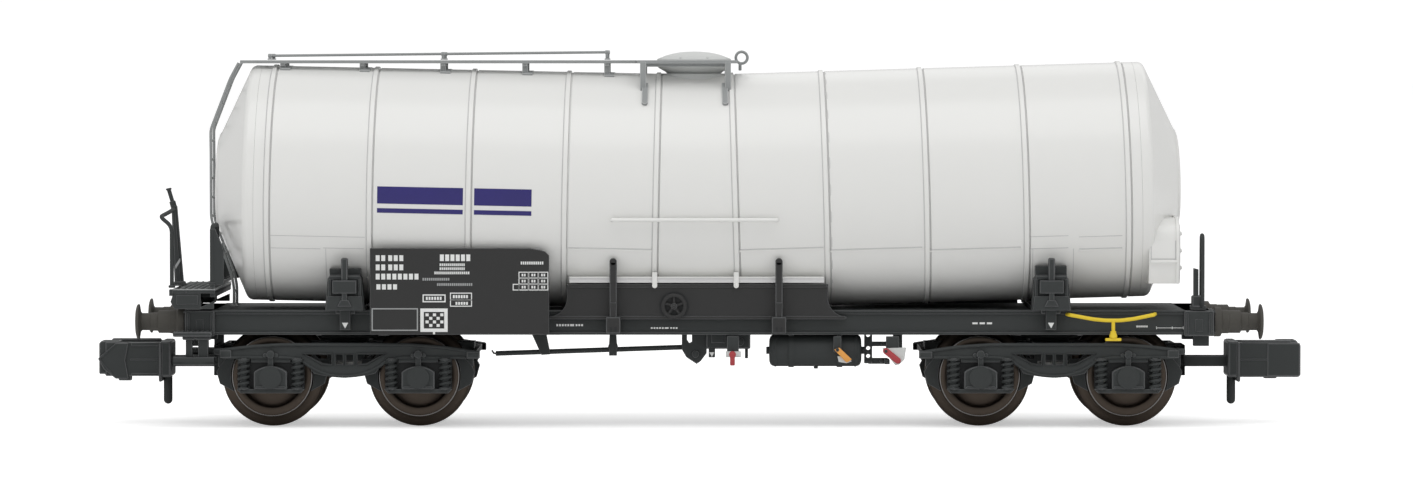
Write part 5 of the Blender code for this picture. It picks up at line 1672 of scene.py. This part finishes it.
class WAGON_OT_side_plates(bpy.types.Operator):
    """Makes the centre plates, signboards and rope brackets"""

    bl_idname = "wagon.side_plates"
    bl_label = "Side Plates"

    def execute(self, context):
        make_side_plates()
        make_signboards()
        make_rope_brackets()
        return {"FINISHED"}


class WAGON_OT_brake_gear(bpy.types.Operator):
    """Makes the reservoir, the brake rigging and the levers"""

    bl_idname = "wagon.brake_gear"
    bl_label = "Brake Gear"

    def execute(self, context):
        make_reservoir()
        make_brake_rigging()
        make_lever_bracket()
        make_levers()
        return {"FINISHED"}


class WAGON_OT_bogies(bpy.types.Operator):
    """Makes the bogie frames and their wheelsets"""

    bl_idname = "wagon.bogies"
    bl_label = "Bogies"

    def execute(self, context):
        make_bogie_frames()
        make_wheelsets()
        return {"FINISHED"}


class WAGON_OT_couplers(bpy.types.Operator):
    """Makes the couplers and their springs"""

    bl_idname = "wagon.couplers"
    bl_label = "Couplers"

    def execute(self, context):
        make_couplers()
        return {"FINISHED"}


class WAGON_OT_stage(bpy.types.Operator):
    """Makes the floor, lights and camera"""

    bl_idname = "wagon.stage"
    bl_label = "Stage"

    def execute(self, context):
        make_stage()
        return {"FINISHED"}


OPERATORS = (
    WAGON_OT_finishes,
    WAGON_OT_tank,
    WAGON_OT_manhole,
    WAGON_OT_walkway,
    WAGON_OT_underframe,
    WAGON_OT_buffers,
    WAGON_OT_end_platform,
    WAGON_OT_steps,
    WAGON_OT_saddles,
    WAGON_OT_side_plates,
    WAGON_OT_brake_gear,
    WAGON_OT_bogies,
    WAGON_OT_couplers,
    WAGON_OT_stage,
)


class WAGON_PT_pieces(bpy.types.Panel):
    bl_label = "Model Tank Wagon"
    bl_space_type = "VIEW_3D"
    bl_region_type = "UI"
    bl_category = "Wagon"

    def draw(self, context):
        for group in (context.scene.wagon_sizes, context.scene.wagon_colours):
            column = self.layout.column()
            for setting in group.bl_rna.properties:
                if setting.identifier in group.__annotations__:
                    column.prop(group, setting.identifier)
        for operator in OPERATORS:
            self.layout.operator(operator.bl_idname)


CLASSES = (WagonSizes, WagonColours, *OPERATORS, WAGON_PT_pieces)


def register():
    for entry in CLASSES:
        bpy.utils.register_class(entry)
    bpy.types.Scene.wagon_sizes = bpy.props.PointerProperty(type=WagonSizes)
    bpy.types.Scene.wagon_colours = bpy.props.PointerProperty(type=WagonColours)


def unregister():
    del bpy.types.Scene.wagon_sizes
    del bpy.types.Scene.wagon_colours
    for entry in reversed(CLASSES):
        bpy.utils.unregister_class(entry)


def main():
    register()
    for operator in OPERATORS:
        group, name = operator.bl_idname.split(".")
        getattr(getattr(bpy.ops, group), name)()


if __name__ == "__main__":
    main()
